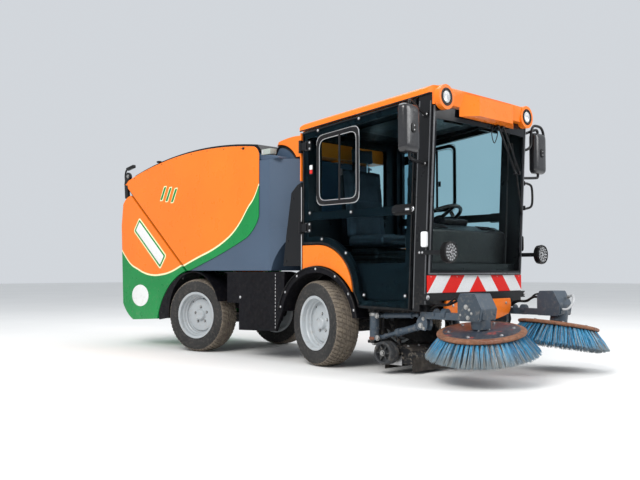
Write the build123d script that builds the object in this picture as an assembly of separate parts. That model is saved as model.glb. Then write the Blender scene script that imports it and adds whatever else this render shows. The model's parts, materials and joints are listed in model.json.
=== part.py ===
from build123d import *
import math
import os

# Compact road sweeper in millimetres: X forward, Y to the left, Z up from the ground.
# While it is drawn X is 0 at the rear axle; the origin moves to the middle of its length at the end.

# Across the vehicle everything follows the body's half width
BODY_HALF = 590
SHELL_INSET = 45
CAB_SHELL_HALF = BODY_HALF - SHELL_INSET
DOOR_INNER = CAB_SHELL_HALF + 5
SCREEN_HALF = BODY_HALF - 15

# Wheels, axles and steering
WHEELBASE = 1600
TYRE_RADIUS = 326
TYRE_WIDTH = 215
RIM_WIDTH = 202
RIM_SEAT = 193
RIM_LIP = 208
RIM_WALL = 6
WHEEL_PLANE = BODY_HALF - 100
KINGPIN_PLANE = WHEEL_PLANE - 65
KINGPIN_RADIUS = 16
SPINDLE_RADIUS = 32
FRONT_STEER = -12
REAR_STEER = 13
RUNNING_FIT = 0.05
SEAT_GAP = 0.3

# Arches leave room for the steered tyres
ARCH_RADIUS = 384
FENDER_WALL = 8
FRONT_LIP_RADIUS = 430
REAR_ARCH_CENTRE = (16, 120)
REAR_ARCH_RADIUS = 612

# Chassis rails run between the steered wheels
RAIL_IN = 150
RAIL_OUT = 210
RAIL_LOW = 380
RAIL_TOP = 450
RAIL_WALL = 6
RAIL_REAR = -1120

# Hopper and what it tips about
TIP_PIN_RADIUS = 22
HOPPER_REAR = (-1196, 1607)
HOPPER_CROWN = (150, 1803)
HOPPER_FRONT_TOP = (911, 1744)
HOPPER_FLOOR = 725
HOPPER_SEAM_FOOT = (-94, 725)
TIP_PIVOT_DROP = 48
TIP_PIVOT_SHARE = 0.02
CYLINDER_HEAD_DROP = 56
CYLINDER_HEAD_SHARE = 0.29
HOPPER_WALL = 25
PANEL_SKIN = 8
PANEL_FRONT = 911
SLATE_TOP = 1632
SLATE_STEP = 42
SLATE_CREASE = 1040
SLATE_FRONT = 1250
SLATE_FRONT_HALF = BODY_HALF - 190
LID_PIVOT = (-1120, 1672)
LID_WALL = 24
LID_GAP = 6
LID_HALF = BODY_HALF - 30
LID_SPAN = (-1040, -120, 844)

# Cab
CAB_REAR = 1417
CAB_FRONT = 2635
CAB_FLOOR = 450
CAB_DECK = 775
CAB_EAVES = 1910
EAVES_DROP = 98
CAB_WALL = 30
SCREEN_LOW = 700
SCREEN_TOP = CAB_EAVES - 84
SCREEN_LEAN = 55
SCREEN_BULGE = 30
DOOR_BOTTOM = CAB_FLOOR + 6
DOOR_GAP = 6
GLASS_WALL = 6

# Brushes and their arms
POST = (2090, WHEEL_PLANE)
ARM_PIN = (POST[0] + 55, 245)
STRUT_PIN = (POST[0] + 50, 402)
STRUT_EYE = (POST[0] + 415, 420)
BRUSH_CENTRE = (POST[0] + 910, POST[1], 344)
BRUSH_PLATE_RADIUS = 285
BRUSH_TIP_RADIUS = 372
BRISTLE_LENGTH = 152
BRUSH_SLOPE_X = -0.047
BRUSH_SLOPE_OUT = 0.157

# Suction head, carried clear of the ground as parked
HEAD_REAR = 2170
HEAD_FRONT = 2420
HEAD_HALF = 470
HEAD_LOW = 72
HEAD_TOP = 190
SUPPORT_WHEEL = (HEAD_REAR + 80, HEAD_HALF + 75, 150)
SUPPORT_RADIUS = 82
SUPPORT_HALF = 46
DUCT_RADIUS = 98
DUCT_WALL = 5
DUCT_ROUTE = [(2240, 165), (2165, 270), (1900, 325), (1620, 468), (1370, 560), (1185, 900)]


def block(x, y, z):
    """Box between two X, two Y and two Z places."""
    size = Box(x[1] - x[0], y[1] - y[0], z[1] - z[0])
    return Pos((x[0] + x[1]) / 2, (y[0] + y[1]) / 2, (z[0] + z[1]) / 2) * size


def outline(start, *steps):
    """Flat face; each step is an end point, or a pair: a point on an arc and its end."""
    edges = []
    here = start
    for step in steps:
        if isinstance(step[0], tuple):
            edges.append(ThreePointArc(here, step[0], step[1]))
            here = step[1]
        else:
            edges.append(Line(here, step))
            here = step
    if here != start:
        edges.append(Line(here, start))
    return make_face(edges)


def side_prism(face, low, high):
    """Side outline (x, z) made solid between two Y places."""
    return extrude(Plane.XZ.offset(-high) * face, amount=high - low)


def plan_prism(face, low, high):
    """Plan outline (x, y) made solid between two heights."""
    return extrude(Plane.XY.offset(low) * face, amount=high - low)


def front_prism(face, low, high):
    """Front outline (y, z) made solid between two X places."""
    return extrude(Plane.YZ.offset(low) * face, amount=high - low)


def rod(start, end, radius):
    """Round bar between two points."""
    along = Vector(*end) - Vector(*start)
    return extrude(Plane(origin=start, z_dir=along) * Circle(radius), amount=along.length)


def cross_pin(x, z, low, high, radius):
    """Round bar across the vehicle."""
    return rod((x, low, z), (x, high, z), radius)


def polar(centre, radius, degrees):
    """Point on a circle in a side view."""
    angle = math.radians(degrees)
    return (centre[0] + radius * math.cos(angle), centre[1] + radius * math.sin(angle))


def sector(centre, inner, outer, start, end):
    """Part of a ring in a side view, from one angle to another."""
    middle = (start + end) / 2
    return outline(
        polar(centre, inner, start),
        (polar(centre, inner, middle), polar(centre, inner, end)),
        polar(centre, outer, end),
        (polar(centre, outer, middle), polar(centre, outer, start)),
    )


def spun(profile):
    """Profile (across, radius) turned about the Y axis."""
    return revolve(Plane.YZ * profile, axis=Axis.Y)


def mirrored(shape):
    """The same piece on the other side of the vehicle."""
    return mirror(shape, about=Plane.XZ)


def both(shape):
    return [shape, mirrored(shape)]


def seam_point(share, below):
    """Point along the slanted seam under the hopper, dropped square to it."""
    a = HOPPER_REAR
    b = HOPPER_SEAM_FOOT
    length = math.dist(a, b)
    across = ((b[1] - a[1]) / length, -(b[0] - a[0]) / length)
    return (
        a[0] + (b[0] - a[0]) * share + across[0] * below,
        a[1] + (b[1] - a[1]) * share + across[1] * below,
    )


FRONT_HUB = (WHEELBASE, TYRE_RADIUS)
REAR_HUB = (0, TYRE_RADIUS)
TIP_PIVOT = seam_point(TIP_PIVOT_SHARE, TIP_PIVOT_DROP)
CYLINDER_HEAD = seam_point(CYLINDER_HEAD_SHARE, CYLINDER_HEAD_DROP)


def steered(shape, hub_x, side, angle):
    """Wheel piece drawn about the kingpin with outboard as +Y, put on its corner."""
    if side < 0:
        shape = mirrored(shape)
    return Pos(hub_x, side * KINGPIN_PLANE, TYRE_RADIUS) * Rot(0, 0, angle) * shape


WHEEL_OFFSET = WHEEL_PLANE - KINGPIN_PLANE
TYRE_HALF = TYRE_WIDTH / 2
RIM_HALF = RIM_WIDTH / 2
DISC_OUT = 12
DISC_WALL = 8
DROP_DEPTH = 21
SPINDLE_END = DISC_OUT + 8


def tyre():
    bead = RIM_HALF - RIM_WALL
    foot = RIM_SEAT + SEAT_GAP
    face = outline(
        (-bead + 12, foot),
        (-bead, foot + 10),
        (-bead, RIM_LIP + 2),
        ((-TYRE_HALF, 262), (-TYRE_HALF + 8, 298)),
        ((-TYRE_HALF + 14, TYRE_RADIUS - 11), (-TYRE_HALF + 30, TYRE_RADIUS - 4)),
        ((0, TYRE_RADIUS), (TYRE_HALF - 30, TYRE_RADIUS - 4)),
        ((TYRE_HALF - 14, TYRE_RADIUS - 11), (TYRE_HALF - 8, 298)),
        ((TYRE_HALF, 262), (bead, RIM_LIP + 2)),
        (bead, foot + 10),
        (bead - 12, foot),
    )
    return Pos(0, WHEEL_OFFSET, 0) * spun(face)


def rim():
    """Deep steel wheel: lips, bead seats, drop centre, set-in disc and hub cap."""
    lip_in = RIM_HALF - RIM_WALL + 0.5
    well = RIM_SEAT - DROP_DEPTH
    face = outline(
        (-RIM_HALF, RIM_LIP),
        (-lip_in, RIM_LIP),
        (-lip_in, RIM_SEAT),
        (-62, RIM_SEAT),
        (-48, well),
        (40, well),
        (62, RIM_SEAT),
        (lip_in, RIM_SEAT),
        (lip_in, RIM_LIP),
        (RIM_HALF, RIM_LIP),
        (RIM_HALF, RIM_SEAT - RIM_WALL),
        (64, RIM_SEAT - RIM_WALL),
        (44, well - RIM_WALL),
        (DISC_OUT, well - RIM_WALL),
        (DISC_OUT, RIM_SEAT - 47),
        (DISC_OUT + 12, RIM_SEAT - 57),
        (DISC_OUT + 12, 54),
        (DISC_OUT + 30, 46),
        (DISC_OUT + 40, 36),
        (DISC_OUT + 40, 0),
        (SPINDLE_END + 2, 0),
        (SPINDLE_END + 2, SPINDLE_RADIUS + RUNNING_FIT),
        (DISC_OUT - DISC_WALL, SPINDLE_RADIUS + RUNNING_FIT),
        (DISC_OUT - DISC_WALL, well - RIM_WALL),
        (-50, well - RIM_WALL),
        (-64, RIM_SEAT - RIM_WALL),
        (-RIM_HALF, RIM_SEAT - RIM_WALL),
    )
    return Pos(0, WHEEL_OFFSET, 0) * spun(face)


BOSS_HALF = 70
BOSS_RADIUS = 30
FORK_GAP = 5
FORK_WALL = 20
FORK_HALF_LENGTH = 42
BRAKE_RADIUS = BOSS_HALF - 2


def knuckle():
    """Kingpin, its boss, brake back plate, spindle and steering arm."""
    pin_half = BOSS_HALF + FORK_GAP + FORK_WALL + 4
    body = Cylinder(BOSS_RADIUS, 2 * BOSS_HALF) + Cylinder(KINGPIN_RADIUS, 2 * pin_half)
    spindle_end = WHEEL_OFFSET + SPINDLE_END
    body += rod((0, 0, 0), (0, spindle_end, 0), SPINDLE_RADIUS - 2 * RUNNING_FIT)
    brake_end = WHEEL_OFFSET + DISC_OUT - DISC_WALL - 2
    body += rod((0, brake_end - 34, 0), (0, brake_end, 0), BRAKE_RADIUS)
    body += block((-150, 0), (-14, 14), (-BOSS_HALF, -BOSS_HALF + 18))
    return body


WHEELS = [
    # name, hub X, side, steering angle as parked
    ("front_right", WHEELBASE, -1, FRONT_STEER),
    ("front_left", WHEELBASE, 1, FRONT_STEER),
    ("rear_right", 0, -1, REAR_STEER),
    ("rear_left", 0, 1, REAR_STEER),
]

BEAM_LOW = 246
BEAM_HIGH = 330
BEAM_HALF = 40


def axle(hub_x):
    """Dropped beam with a fork at each end for the kingpins, and seats up to the rails."""
    fork_in = KINGPIN_PLANE - 95
    fork_out = KINGPIN_PLANE + 32
    low = TYRE_RADIUS - BOSS_HALF - FORK_GAP - FORK_WALL
    high = TYRE_RADIUS + BOSS_HALF + FORK_GAP + FORK_WALL
    x = (hub_x - FORK_HALF_LENGTH, hub_x + FORK_HALF_LENGTH)
    beam = block((hub_x - BEAM_HALF, hub_x + BEAM_HALF), (-fork_in, fork_in), (BEAM_LOW, BEAM_HIGH))
    for side in (-1, 1):
        y = sorted((side * (fork_in - 2), side * fork_out))
        web_y = sorted((side * (fork_in - 2), side * (fork_in + 20)))
        beam += block(x, web_y, (low, high))
        beam += block(x, y, (low, low + FORK_WALL))
        beam += block(x, y, (high - FORK_WALL, high))
        seat_y = sorted((side * RAIL_IN, side * RAIL_OUT))
        beam += block((hub_x - 50, hub_x + 50), seat_y, (BEAM_HIGH - 10, RAIL_LOW))
    for side in (-1, 1):
        bore = Cylinder(KINGPIN_RADIUS + RUNNING_FIT, 400)
        beam -= Pos(hub_x, side * KINGPIN_PLANE, TYRE_RADIUS) * bore
    return beam


REAR_POST = (-1165, -1105)
REAR_POST_LOW = RAIL_LOW + 16
REAR_POST_OUT = BODY_HALF - 90
REAR_POST_IN = REAR_POST_OUT - 60
TAIL_WALL = 25
TAIL_INNER_X = -1213
FRONT_BEAM = (POST[0] - 40, POST[0] + 20)
RAIL_FRONT = FRONT_BEAM[1]
POST_EAR = 22
POST_FOOT = 205
PIVOT_EAR = 36
PAD_HEIGHT = (1120, 1180)


def box_tube(x, y, z, wall, along):
    """Hollow square tube along X, Y or Z, open at its ends."""
    spans = [x, y, z]
    inner = [s if i == "XYZ".index(along) else (s[0] + wall, s[1] - wall) for i, s in enumerate(spans)]
    return block(x, y, z) - block(*inner)


def chassis_frame():
    """Two rails, cross tubes, the rear posts for the hopper pivot and the brush post ears."""
    frame = None
    for side in (-1, 1):
        y = sorted((side * RAIL_IN, side * RAIL_OUT))
        rail = box_tube((RAIL_REAR, RAIL_FRONT), y, (RAIL_LOW, RAIL_TOP), RAIL_WALL, "X")
        frame = rail if frame is None else frame + rail
    for x in (-560, 500, 1120):
        frame += block((x, x + 60), (-RAIL_IN, RAIL_IN), (RAIL_LOW + 5, RAIL_TOP - 5))
    rear_y = (-REAR_POST_OUT, REAR_POST_OUT)
    frame += block(REAR_POST, rear_y, (REAR_POST_LOW, RAIL_TOP))
    frame += block(REAR_POST, rear_y, (1400, 1450))
    post_top = outline(
        (REAR_POST[0], REAR_POST_LOW),
        (REAR_POST[1], REAR_POST_LOW),
        (REAR_POST[1], 1440),
        (TIP_PIVOT[0] + 30, TIP_PIVOT[1] - 20),
        ((TIP_PIVOT[0] + 4, TIP_PIVOT[1] + PIVOT_EAR - 1), (TIP_PIVOT[0] - 30, TIP_PIVOT[1] - 20)),
        (REAR_POST[0], 1470),
    )
    for side in (-1, 1):
        y = sorted((side * REAR_POST_IN, side * REAR_POST_OUT))
        frame += side_prism(post_top, y[0], y[1])
        frame += block((TAIL_INNER_X + SEAT_GAP, REAR_POST[0] + 5), y, PAD_HEIGHT)
        pin_y = sorted((side * (REAR_POST_IN - 45), side * REAR_POST_OUT))
        frame += cross_pin(TIP_PIVOT[0], TIP_PIVOT[1], pin_y[0], pin_y[1], TIP_PIN_RADIUS)
        frame += rear_cylinder_foot(side)
    beam_y = (-POST[1] + 60, POST[1] - 60)
    frame += block(FRONT_BEAM, beam_y, (RAIL_LOW + 15, RAIL_TOP))
    for side in (-1, 1):
        web = sorted((side * (POST[1] - 85), side * (POST[1] - 60)))
        reach = sorted((side * (POST[1] - 85), side * (POST[1] + 28)))
        frame += block(FRONT_BEAM, web, (POST_FOOT, RAIL_TOP))
        frame += block(FRONT_BEAM, reach, (POST_FOOT, POST_FOOT + POST_EAR))
        frame += block(FRONT_BEAM, reach, (RAIL_TOP - POST_EAR, RAIL_TOP))
        swing_pin = rod((POST[0], side * POST[1], POST_FOOT), (POST[0], side * POST[1], RAIL_TOP), 16)
        frame += swing_pin
    return frame


CYLINDER_PLANE = 300
CYLINDER_FOOT = (-1000, 520)
CYLINDER_PIN = 16
BARREL_RADIUS = 38
ROD_RADIUS = 18
BARREL_LENGTH = 640
EYE_HALF = 20
EYE_RADIUS = 34
LUG_WALL = 12
LUG_GAP = 1.5


def rear_cylinder_foot(side):
    """Cross beam lug pair that the tipping cylinder's foot turns in."""
    lug = None
    base = RAIL_TOP - 20
    for edge in (CYLINDER_PLANE - EYE_HALF - LUG_GAP - LUG_WALL, CYLINDER_PLANE + EYE_HALF + LUG_GAP):
        y = sorted((side * edge, side * (edge + LUG_WALL)))
        face = outline(
            (CYLINDER_FOOT[0] - 45, base),
            (CYLINDER_FOOT[0] + 45, base),
            (CYLINDER_FOOT[0] + 32, CYLINDER_FOOT[1] + 10),
            ((CYLINDER_FOOT[0], CYLINDER_FOOT[1] + 34), (CYLINDER_FOOT[0] - 32, CYLINDER_FOOT[1] + 10)),
        )
        plate = side_prism(face, y[0], y[1])
        lug = plate if lug is None else lug + plate
    span = CYLINDER_PLANE + EYE_HALF + LUG_GAP + LUG_WALL
    low, high = sorted((side * (RAIL_OUT - 10), side * span))
    lug += block((CYLINDER_FOOT[0] - 45, CYLINDER_FOOT[0] + 45), (low, high), (RAIL_LOW + 20, base))
    pin_in = CYLINDER_PLANE - EYE_HALF - LUG_GAP - LUG_WALL
    low, high = sorted((side * pin_in, side * span))
    lug += cross_pin(CYLINDER_FOOT[0], CYLINDER_FOOT[1], low, high, CYLINDER_PIN)
    return lug


def toward(start, end, distance):
    """Point at a distance from the start along the way to the end, in a side view."""
    length = math.dist(start, end)
    share = distance / length
    return (start[0] + (end[0] - start[0]) * share, start[1] + (end[1] - start[1]) * share)


def eye(centre, side, pin_radius):
    """Round eye of a cylinder at its pin."""
    ring = Rot(90, 0, 0) * (Cylinder(EYE_RADIUS, 2 * EYE_HALF) - Cylinder(pin_radius, 2 * EYE_HALF))
    return Pos(centre[0], side * CYLINDER_PLANE, centre[1]) * ring


def tip_barrels():
    solids = []
    for side in (-1, 1):
        y = side * CYLINDER_PLANE
        neck = toward(CYLINDER_FOOT, CYLINDER_HEAD, EYE_RADIUS - 8)
        low = toward(CYLINDER_FOOT, CYLINDER_HEAD, EYE_RADIUS + 14)
        high = toward(CYLINDER_FOOT, CYLINDER_HEAD, BARREL_LENGTH)
        barrel = rod((low[0], y, low[1]), (high[0], y, high[1]), BARREL_RADIUS)
        barrel += rod((neck[0], y, neck[1]), (low[0], y, low[1]), EYE_HALF - 2)
        inside = toward(CYLINDER_FOOT, CYLINDER_HEAD, EYE_RADIUS + 40)
        barrel -= rod((inside[0], y, inside[1]), (high[0], y, high[1]), ROD_RADIUS + RUNNING_FIT)
        barrel -= cross_pin(CYLINDER_FOOT[0], CYLINDER_FOOT[1], y - 60, y + 60, CYLINDER_PIN + RUNNING_FIT)
        solids.append(barrel + eye(CYLINDER_FOOT, side, CYLINDER_PIN + RUNNING_FIT))
    tie_low = toward(CYLINDER_FOOT, CYLINDER_HEAD, 330)
    inner = CYLINDER_PLANE - BARREL_RADIUS + 6
    tie = cross_pin(tie_low[0], tie_low[1], -inner, inner, 16)
    return solids[0] + solids[1] + tie


def tip_rods():
    solids = []
    for side in (-1, 1):
        y = side * CYLINDER_PLANE
        low = toward(CYLINDER_FOOT, CYLINDER_HEAD, EYE_RADIUS + 60)
        high = toward(CYLINDER_HEAD, CYLINDER_FOOT, EYE_RADIUS - 6)
        solids.append(rod((low[0], y, low[1]), (high[0], y, high[1]), ROD_RADIUS) + eye(CYLINDER_HEAD, side, CYLINDER_PIN))
    inner = CYLINDER_PLANE - EYE_HALF + 1
    tie = cross_pin(CYLINDER_HEAD[0], CYLINDER_HEAD[1], -inner, inner, CYLINDER_PIN + 6)
    return solids[0] + solids[1] + tie


BATTERY_X = (440, 1160)
BATTERY_Z = (RAIL_TOP + SEAT_GAP, 700)
SKIRT_IN = CAB_SHELL_HALF
SKIRT_OUT = SKIRT_IN + 30


def battery_block():
    return block(BATTERY_X, (-SKIRT_IN + SEAT_GAP, SKIRT_IN - SEAT_GAP), BATTERY_Z)


def side_skirt():
    """Black panel between the wheels, cut back round both of them."""
    face = outline(
        (640, 226),
        (1107, 240),
        (1200, 420),
        (1215, 715),
        (420, 715),
        ((560, 645), (640, 500)),
    )
    return side_prism(face, SKIRT_IN, SKIRT_OUT)


SEAM_GAP = 22


def rear_body_face():
    """Side outline of the fixed tail under the slanted seam."""
    top = seam_point(0.13, SEAM_GAP)
    foot = seam_point(0.985, SEAM_GAP)
    arch = polar(REAR_ARCH_CENTRE, REAR_ARCH_RADIUS, 135)
    return outline(
        top,
        foot,
        (arch, polar(REAR_ARCH_CENTRE, REAR_ARCH_RADIUS, 166)),
        (-1003, 244),
        ((-1112, 308), (-1194, 400)),
        (-1238, 1180),
        (-1212, 1392),
        ((-1165, 1440), top),
    )


def rear_body():
    """Hollow tail: two side walls, a rear wall and a floor, open on top and in front."""
    face = rear_body_face()
    outer = side_prism(face, -BODY_HALF, BODY_HALF)
    inner_half = BODY_HALF - TAIL_WALL
    room = outline(
        (TAIL_INNER_X + 8, 1600),
        (TAIL_INNER_X, 1180),
        (TAIL_INNER_X, PAD_HEIGHT[0] - 30),
        (-1172, 396),
        ((-1097, 324), (-990, 269)),
        (-300, 269),
        (400, 600),
        (400, 1600),
    )
    return outer - side_prism(room, -inner_half, inner_half)


def fender_rear():
    """Arch over the rear wheel with a wide flat flange out to the tail's cut."""
    centre = REAR_HUB
    shell = side_prism(sector(centre, ARCH_RADIUS, ARCH_RADIUS + FENDER_WALL, 20, 168), 380, BODY_HALF - 2)
    edge = REAR_ARCH_RADIUS - 6
    flange = outline(
        polar(centre, ARCH_RADIUS, 96),
        (polar(centre, ARCH_RADIUS, 140), polar(centre, ARCH_RADIUS, 186)),
        (-545, 262),
        polar(REAR_ARCH_CENTRE, edge, 160),
        (polar(REAR_ARCH_CENTRE, edge, 135), polar(REAR_ARCH_CENTRE, edge, 105)),
    )
    return shell + side_prism(flange, BODY_HALF - 14, BODY_HALF - 2)


def fender_front():
    """Arch over the front wheel with a deep rolled lip."""
    centre = FRONT_HUB
    shell = side_prism(sector(centre, ARCH_RADIUS, ARCH_RADIUS + FENDER_WALL, 8, 168), 380, BODY_HALF + 18)
    lip = side_prism(sector(centre, ARCH_RADIUS, FRONT_LIP_RADIUS, 8, 168), BODY_HALF + 8, BODY_HALF + 18)
    return shell + lip


GUSSET_TOP = 1413


def gusset():
    """Tapered black side plate between the cab and the hopper."""
    face = outline(
        (CAB_REAR - SEAT_GAP, GUSSET_TOP),
        (CAB_REAR - 49, GUSSET_TOP - 18),
        (CAB_REAR - 117, GUSSET_TOP - 76),
        (CAB_REAR - 175, GUSSET_TOP - 403),
        (CAB_REAR - 212, CAB_DECK - 15),
        (CAB_REAR - SEAT_GAP, CAB_DECK - 15),
    )
    return side_prism(face, CAB_SHELL_HALF - 20, BODY_HALF - 8)


def fenders():
    """Arches and gussets, tied to the rails by stays."""
    solids = []
    for side in (-1, 1):
        for shape in (fender_rear(), fender_front()):
            solids.append(shape if side > 0 else mirrored(shape))
    arch_top = TYRE_RADIUS + ARCH_RADIUS
    stay = block((-20, 20), (RAIL_OUT, RAIL_OUT + 14), (RAIL_LOW + 10, arch_top - SEAT_GAP))
    stay += block((-20, 20), (RAIL_OUT, 420), (arch_top - 8, arch_top - SEAT_GAP))
    for x in (0, WHEELBASE):
        solids += both(Pos(x, 0, 0) * stay)
    return solids


def circle_through(a, b, c):
    """Centre and radius of the circle through three points of a side view."""
    d = 2 * (a[0] * (b[1] - c[1]) + b[0] * (c[1] - a[1]) + c[0] * (a[1] - b[1]))
    squares = [p[0] ** 2 + p[1] ** 2 for p in (a, b, c)]
    x = (squares[0] * (b[1] - c[1]) + squares[1] * (c[1] - a[1]) + squares[2] * (a[1] - b[1])) / d
    z = (squares[0] * (c[0] - b[0]) + squares[1] * (a[0] - c[0]) + squares[2] * (b[0] - a[0])) / d
    return (x, z), math.dist((x, z), a)


def roof_point(x, up):
    """Point over the hopper's arched roof."""
    centre, radius = circle_through(*hopper_side_face(PANEL_SKIN))
    return (x, centre[1] + math.sqrt((radius + up) ** 2 - (x - centre[0]) ** 2))


def hopper_side_face(drop):
    """Rear, crown and front corner of the hopper's top edge, lowered by the drop."""
    crown = (HOPPER_CROWN[0], HOPPER_CROWN[1] - drop)
    rear = (HOPPER_REAR[0] + drop, HOPPER_REAR[1] - drop * 0.8)
    corner = (HOPPER_FRONT_TOP[0] - 70, HOPPER_FRONT_TOP[1] + 12 - drop)
    return rear, crown, corner


def hopper_outer():
    """Whole hopper body before it is hollowed."""
    rear, crown, corner = hopper_side_face(PANEL_SKIN)
    side = outline(
        rear,
        (crown, corner),
        (PANEL_FRONT, SLATE_TOP + SLATE_STEP),
        (PANEL_FRONT, SLATE_TOP),
        (SLATE_FRONT, SLATE_TOP),
        (SLATE_FRONT, FRONT_BEND),
        ((SLATE_FRONT - 125, FRONT_BEND - 140), (SLATE_FRONT - 200, HOPPER_FLOOR)),
        HOPPER_SEAM_FOOT,
    )
    body_half = BODY_HALF - PANEL_SKIN
    plan = outline(
        (HOPPER_REAR[0] - 100, -body_half),
        (SLATE_CREASE, -body_half),
        (SLATE_FRONT, -SLATE_FRONT_HALF),
        (SLATE_FRONT, SLATE_FRONT_HALF),
        (SLATE_CREASE, body_half),
        (HOPPER_REAR[0] - 100, body_half),
    )
    return side_prism(side, -body_half, body_half) & plan_prism(plan, HOPPER_FLOOR - 100, HOPPER_CROWN[1] + 100)


LID_MOUTH = (-820, 640)
LID_MOUTH_HALF = LID_HALF - 130
INLET_CENTRE = (1142, 955)
TIP_LUG_PLANE = REAR_POST_IN - 8
FRONT_BEND = 1075


def sheet_gaps(half, wall, rear_x, corner_x):
    """Hairline gaps that part the hopper's walls, roof, floor and front into sheets."""
    low = HOPPER_FLOOR - 100
    high = HOPPER_CROWN[1] + 100
    ledge = SLATE_TOP - wall
    crease = SLATE_CREASE - 8
    front = SLATE_FRONT + 50
    between = half + SEAT_GAP
    outside = 2 * BODY_HALF
    gaps = both(block((HOPPER_REAR[0] - 50, crease), (half, between), (low, high)))
    gaps += both(block((crease + SEAT_GAP, front), (SLATE_FRONT_HALF - 22, SLATE_FRONT_HALF - 22 + SEAT_GAP), (low, ledge)))
    gaps.append(block((crease, crease + SEAT_GAP), (-outside, outside), (low, ledge)))
    gaps += both(block((crease, crease + SEAT_GAP), (half, outside), (ledge - SEAT_GAP, high)))
    for x, z in (
        (rear_x + 60, (low, high)),
        (LID_MOUTH[0], (ledge, high)),
        (LID_MOUTH[1], (ledge, high)),
        (corner_x - 5, (ledge, high)),
        (PANEL_FRONT, (ledge, high)),
        (HOPPER_SEAM_FOOT[0], (low, HOPPER_FLOOR + 2 * wall)),
    ):
        gaps.append(block((x, x + SEAT_GAP), (-between, between), z))
    gaps.append(block((corner_x - 5, crease), (-between, between), (ledge - SEAT_GAP, ledge)))
    for z in (ledge, FRONT_BEND):
        gaps.append(block((crease, front), (-outside, outside), (z - SEAT_GAP, z)))
    return gaps


def hopper_shell():
    """Hollow hopper of separate sheets with its mouth on top, inlet in front and pivot lugs."""
    outer = hopper_outer()
    wall = HOPPER_WALL
    rear, crown, corner = hopper_side_face(PANEL_SKIN + wall)
    room = outline(
        (rear[0] + 40, rear[1] - 10),
        ((crown[0], crown[1]), (corner[0] - 20, corner[1])),
        (PANEL_FRONT - wall, SLATE_TOP + SLATE_STEP - 20),
        (PANEL_FRONT - wall, SLATE_TOP - wall),
        (SLATE_FRONT - wall, SLATE_TOP - wall),
        (SLATE_FRONT - wall, FRONT_BEND + 15),
        ((SLATE_FRONT - 150, FRONT_BEND - 120), (SLATE_FRONT - 220, HOPPER_FLOOR + wall)),
        (HOPPER_SEAM_FOOT[0] + 10, HOPPER_FLOOR + wall),
    )
    half = BODY_HALF - PANEL_SKIN - wall
    plan = outline(
        (HOPPER_REAR[0] - 100, -half),
        (SLATE_CREASE - 8, -half),
        (SLATE_FRONT, -SLATE_FRONT_HALF + 22),
        (SLATE_FRONT, SLATE_FRONT_HALF - 22),
        (SLATE_CREASE - 8, half),
        (HOPPER_REAR[0] - 100, half),
    )
    height = (HOPPER_FLOOR - 100, HOPPER_CROWN[1] + 100)
    shell = outer - (side_prism(room, -half, half) & plan_prism(plan, *height))
    mouth_half = (-LID_MOUTH_HALF, LID_MOUTH_HALF)
    shell -= block(LID_MOUTH, mouth_half, (SLATE_TOP - 40, height[1]))
    shell -= rod((INLET_CENTRE[0], 0, INLET_CENTRE[1]), (INLET_CENTRE[0] - 200, 0, INLET_CENTRE[1] + 120), DUCT_RADIUS)
    for gap in sheet_gaps(half, wall, rear[0], corner[0]):
        shell -= gap
    return solids_of(shell) + hopper_lugs(outer)


def hopper_lugs(outer):
    """Pivot, cylinder and lid lugs, each set on the hopper's sheets."""
    face = outline(
        seam_point(0.03, -12),
        (TIP_PIVOT[0] - PIVOT_EAR, TIP_PIVOT[1] + 4),
        ((TIP_PIVOT[0] - 4, TIP_PIVOT[1] - PIVOT_EAR), (TIP_PIVOT[0] + 30, TIP_PIVOT[1] - 18)),
        seam_point(0.16, -12),
    )
    pivot = side_prism(face, TIP_LUG_PLANE - 30, TIP_LUG_PLANE)
    pivot -= cross_pin(TIP_PIVOT[0], TIP_PIVOT[1], 0, BODY_HALF, TIP_PIN_RADIUS + RUNNING_FIT)
    lugs = []
    for lug, lift in ((pivot, -SEAT_GAP), (cylinder_head_lug(), -SEAT_GAP), (lid_lug(300, 322), SEAT_GAP)):
        lugs += both(lug - Pos(0, 0, lift) * outer)
    return lugs


def cylinder_head_lug():
    """Plate under the hopper beside the tipping rod's eye."""
    edge = CYLINDER_PLANE + EYE_HALF + LUG_GAP
    face = outline(
        (CYLINDER_HEAD[0] + 22, CYLINDER_HEAD[1] - 26),
        seam_point(CYLINDER_HEAD_SHARE + 0.1, -12),
        seam_point(CYLINDER_HEAD_SHARE - 0.1, -12),
        ((CYLINDER_HEAD[0] - 24, CYLINDER_HEAD[1] - 24), (CYLINDER_HEAD[0] + 22, CYLINDER_HEAD[1] - 26)),
    )
    return side_prism(face, edge, edge + LUG_WALL)


def lid_lug(inner, outer):
    """Upright ear on the hopper roof with the lid's hinge pin."""
    face = outline(
        (LID_PIVOT[0] - 45, LID_PIVOT[1] - 62),
        (LID_PIVOT[0] + 55, LID_PIVOT[1] - 46),
        (LID_PIVOT[0] + 20, LID_PIVOT[1] + 8),
        ((LID_PIVOT[0], LID_PIVOT[1] + 22), (LID_PIVOT[0] - 22, LID_PIVOT[1] + 4)),
    )
    return side_prism(face, inner, outer) + cross_pin(LID_PIVOT[0], LID_PIVOT[1], inner, outer + 30, 12)


def hopper_side_panel():
    """Coloured skin on the hopper's side with its swept lower front edge."""
    rear, crown, corner = hopper_side_face(0)
    face = outline(
        rear,
        (crown, corner),
        ((PANEL_FRONT - 18, HOPPER_FRONT_TOP[1] - 22), (PANEL_FRONT, HOPPER_FRONT_TOP[1] - 90)),
        (PANEL_FRONT, 1170),
        ((PANEL_FRONT - 75, 1062), (PANEL_FRONT - 190, 986)),
        ((465, 890), (214, 808)),
        (-40, HOPPER_FLOOR + 4),
        HOPPER_SEAM_FOOT,
    )
    return side_prism(face, BODY_HALF - PANEL_SKIN, BODY_HALF)


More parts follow.
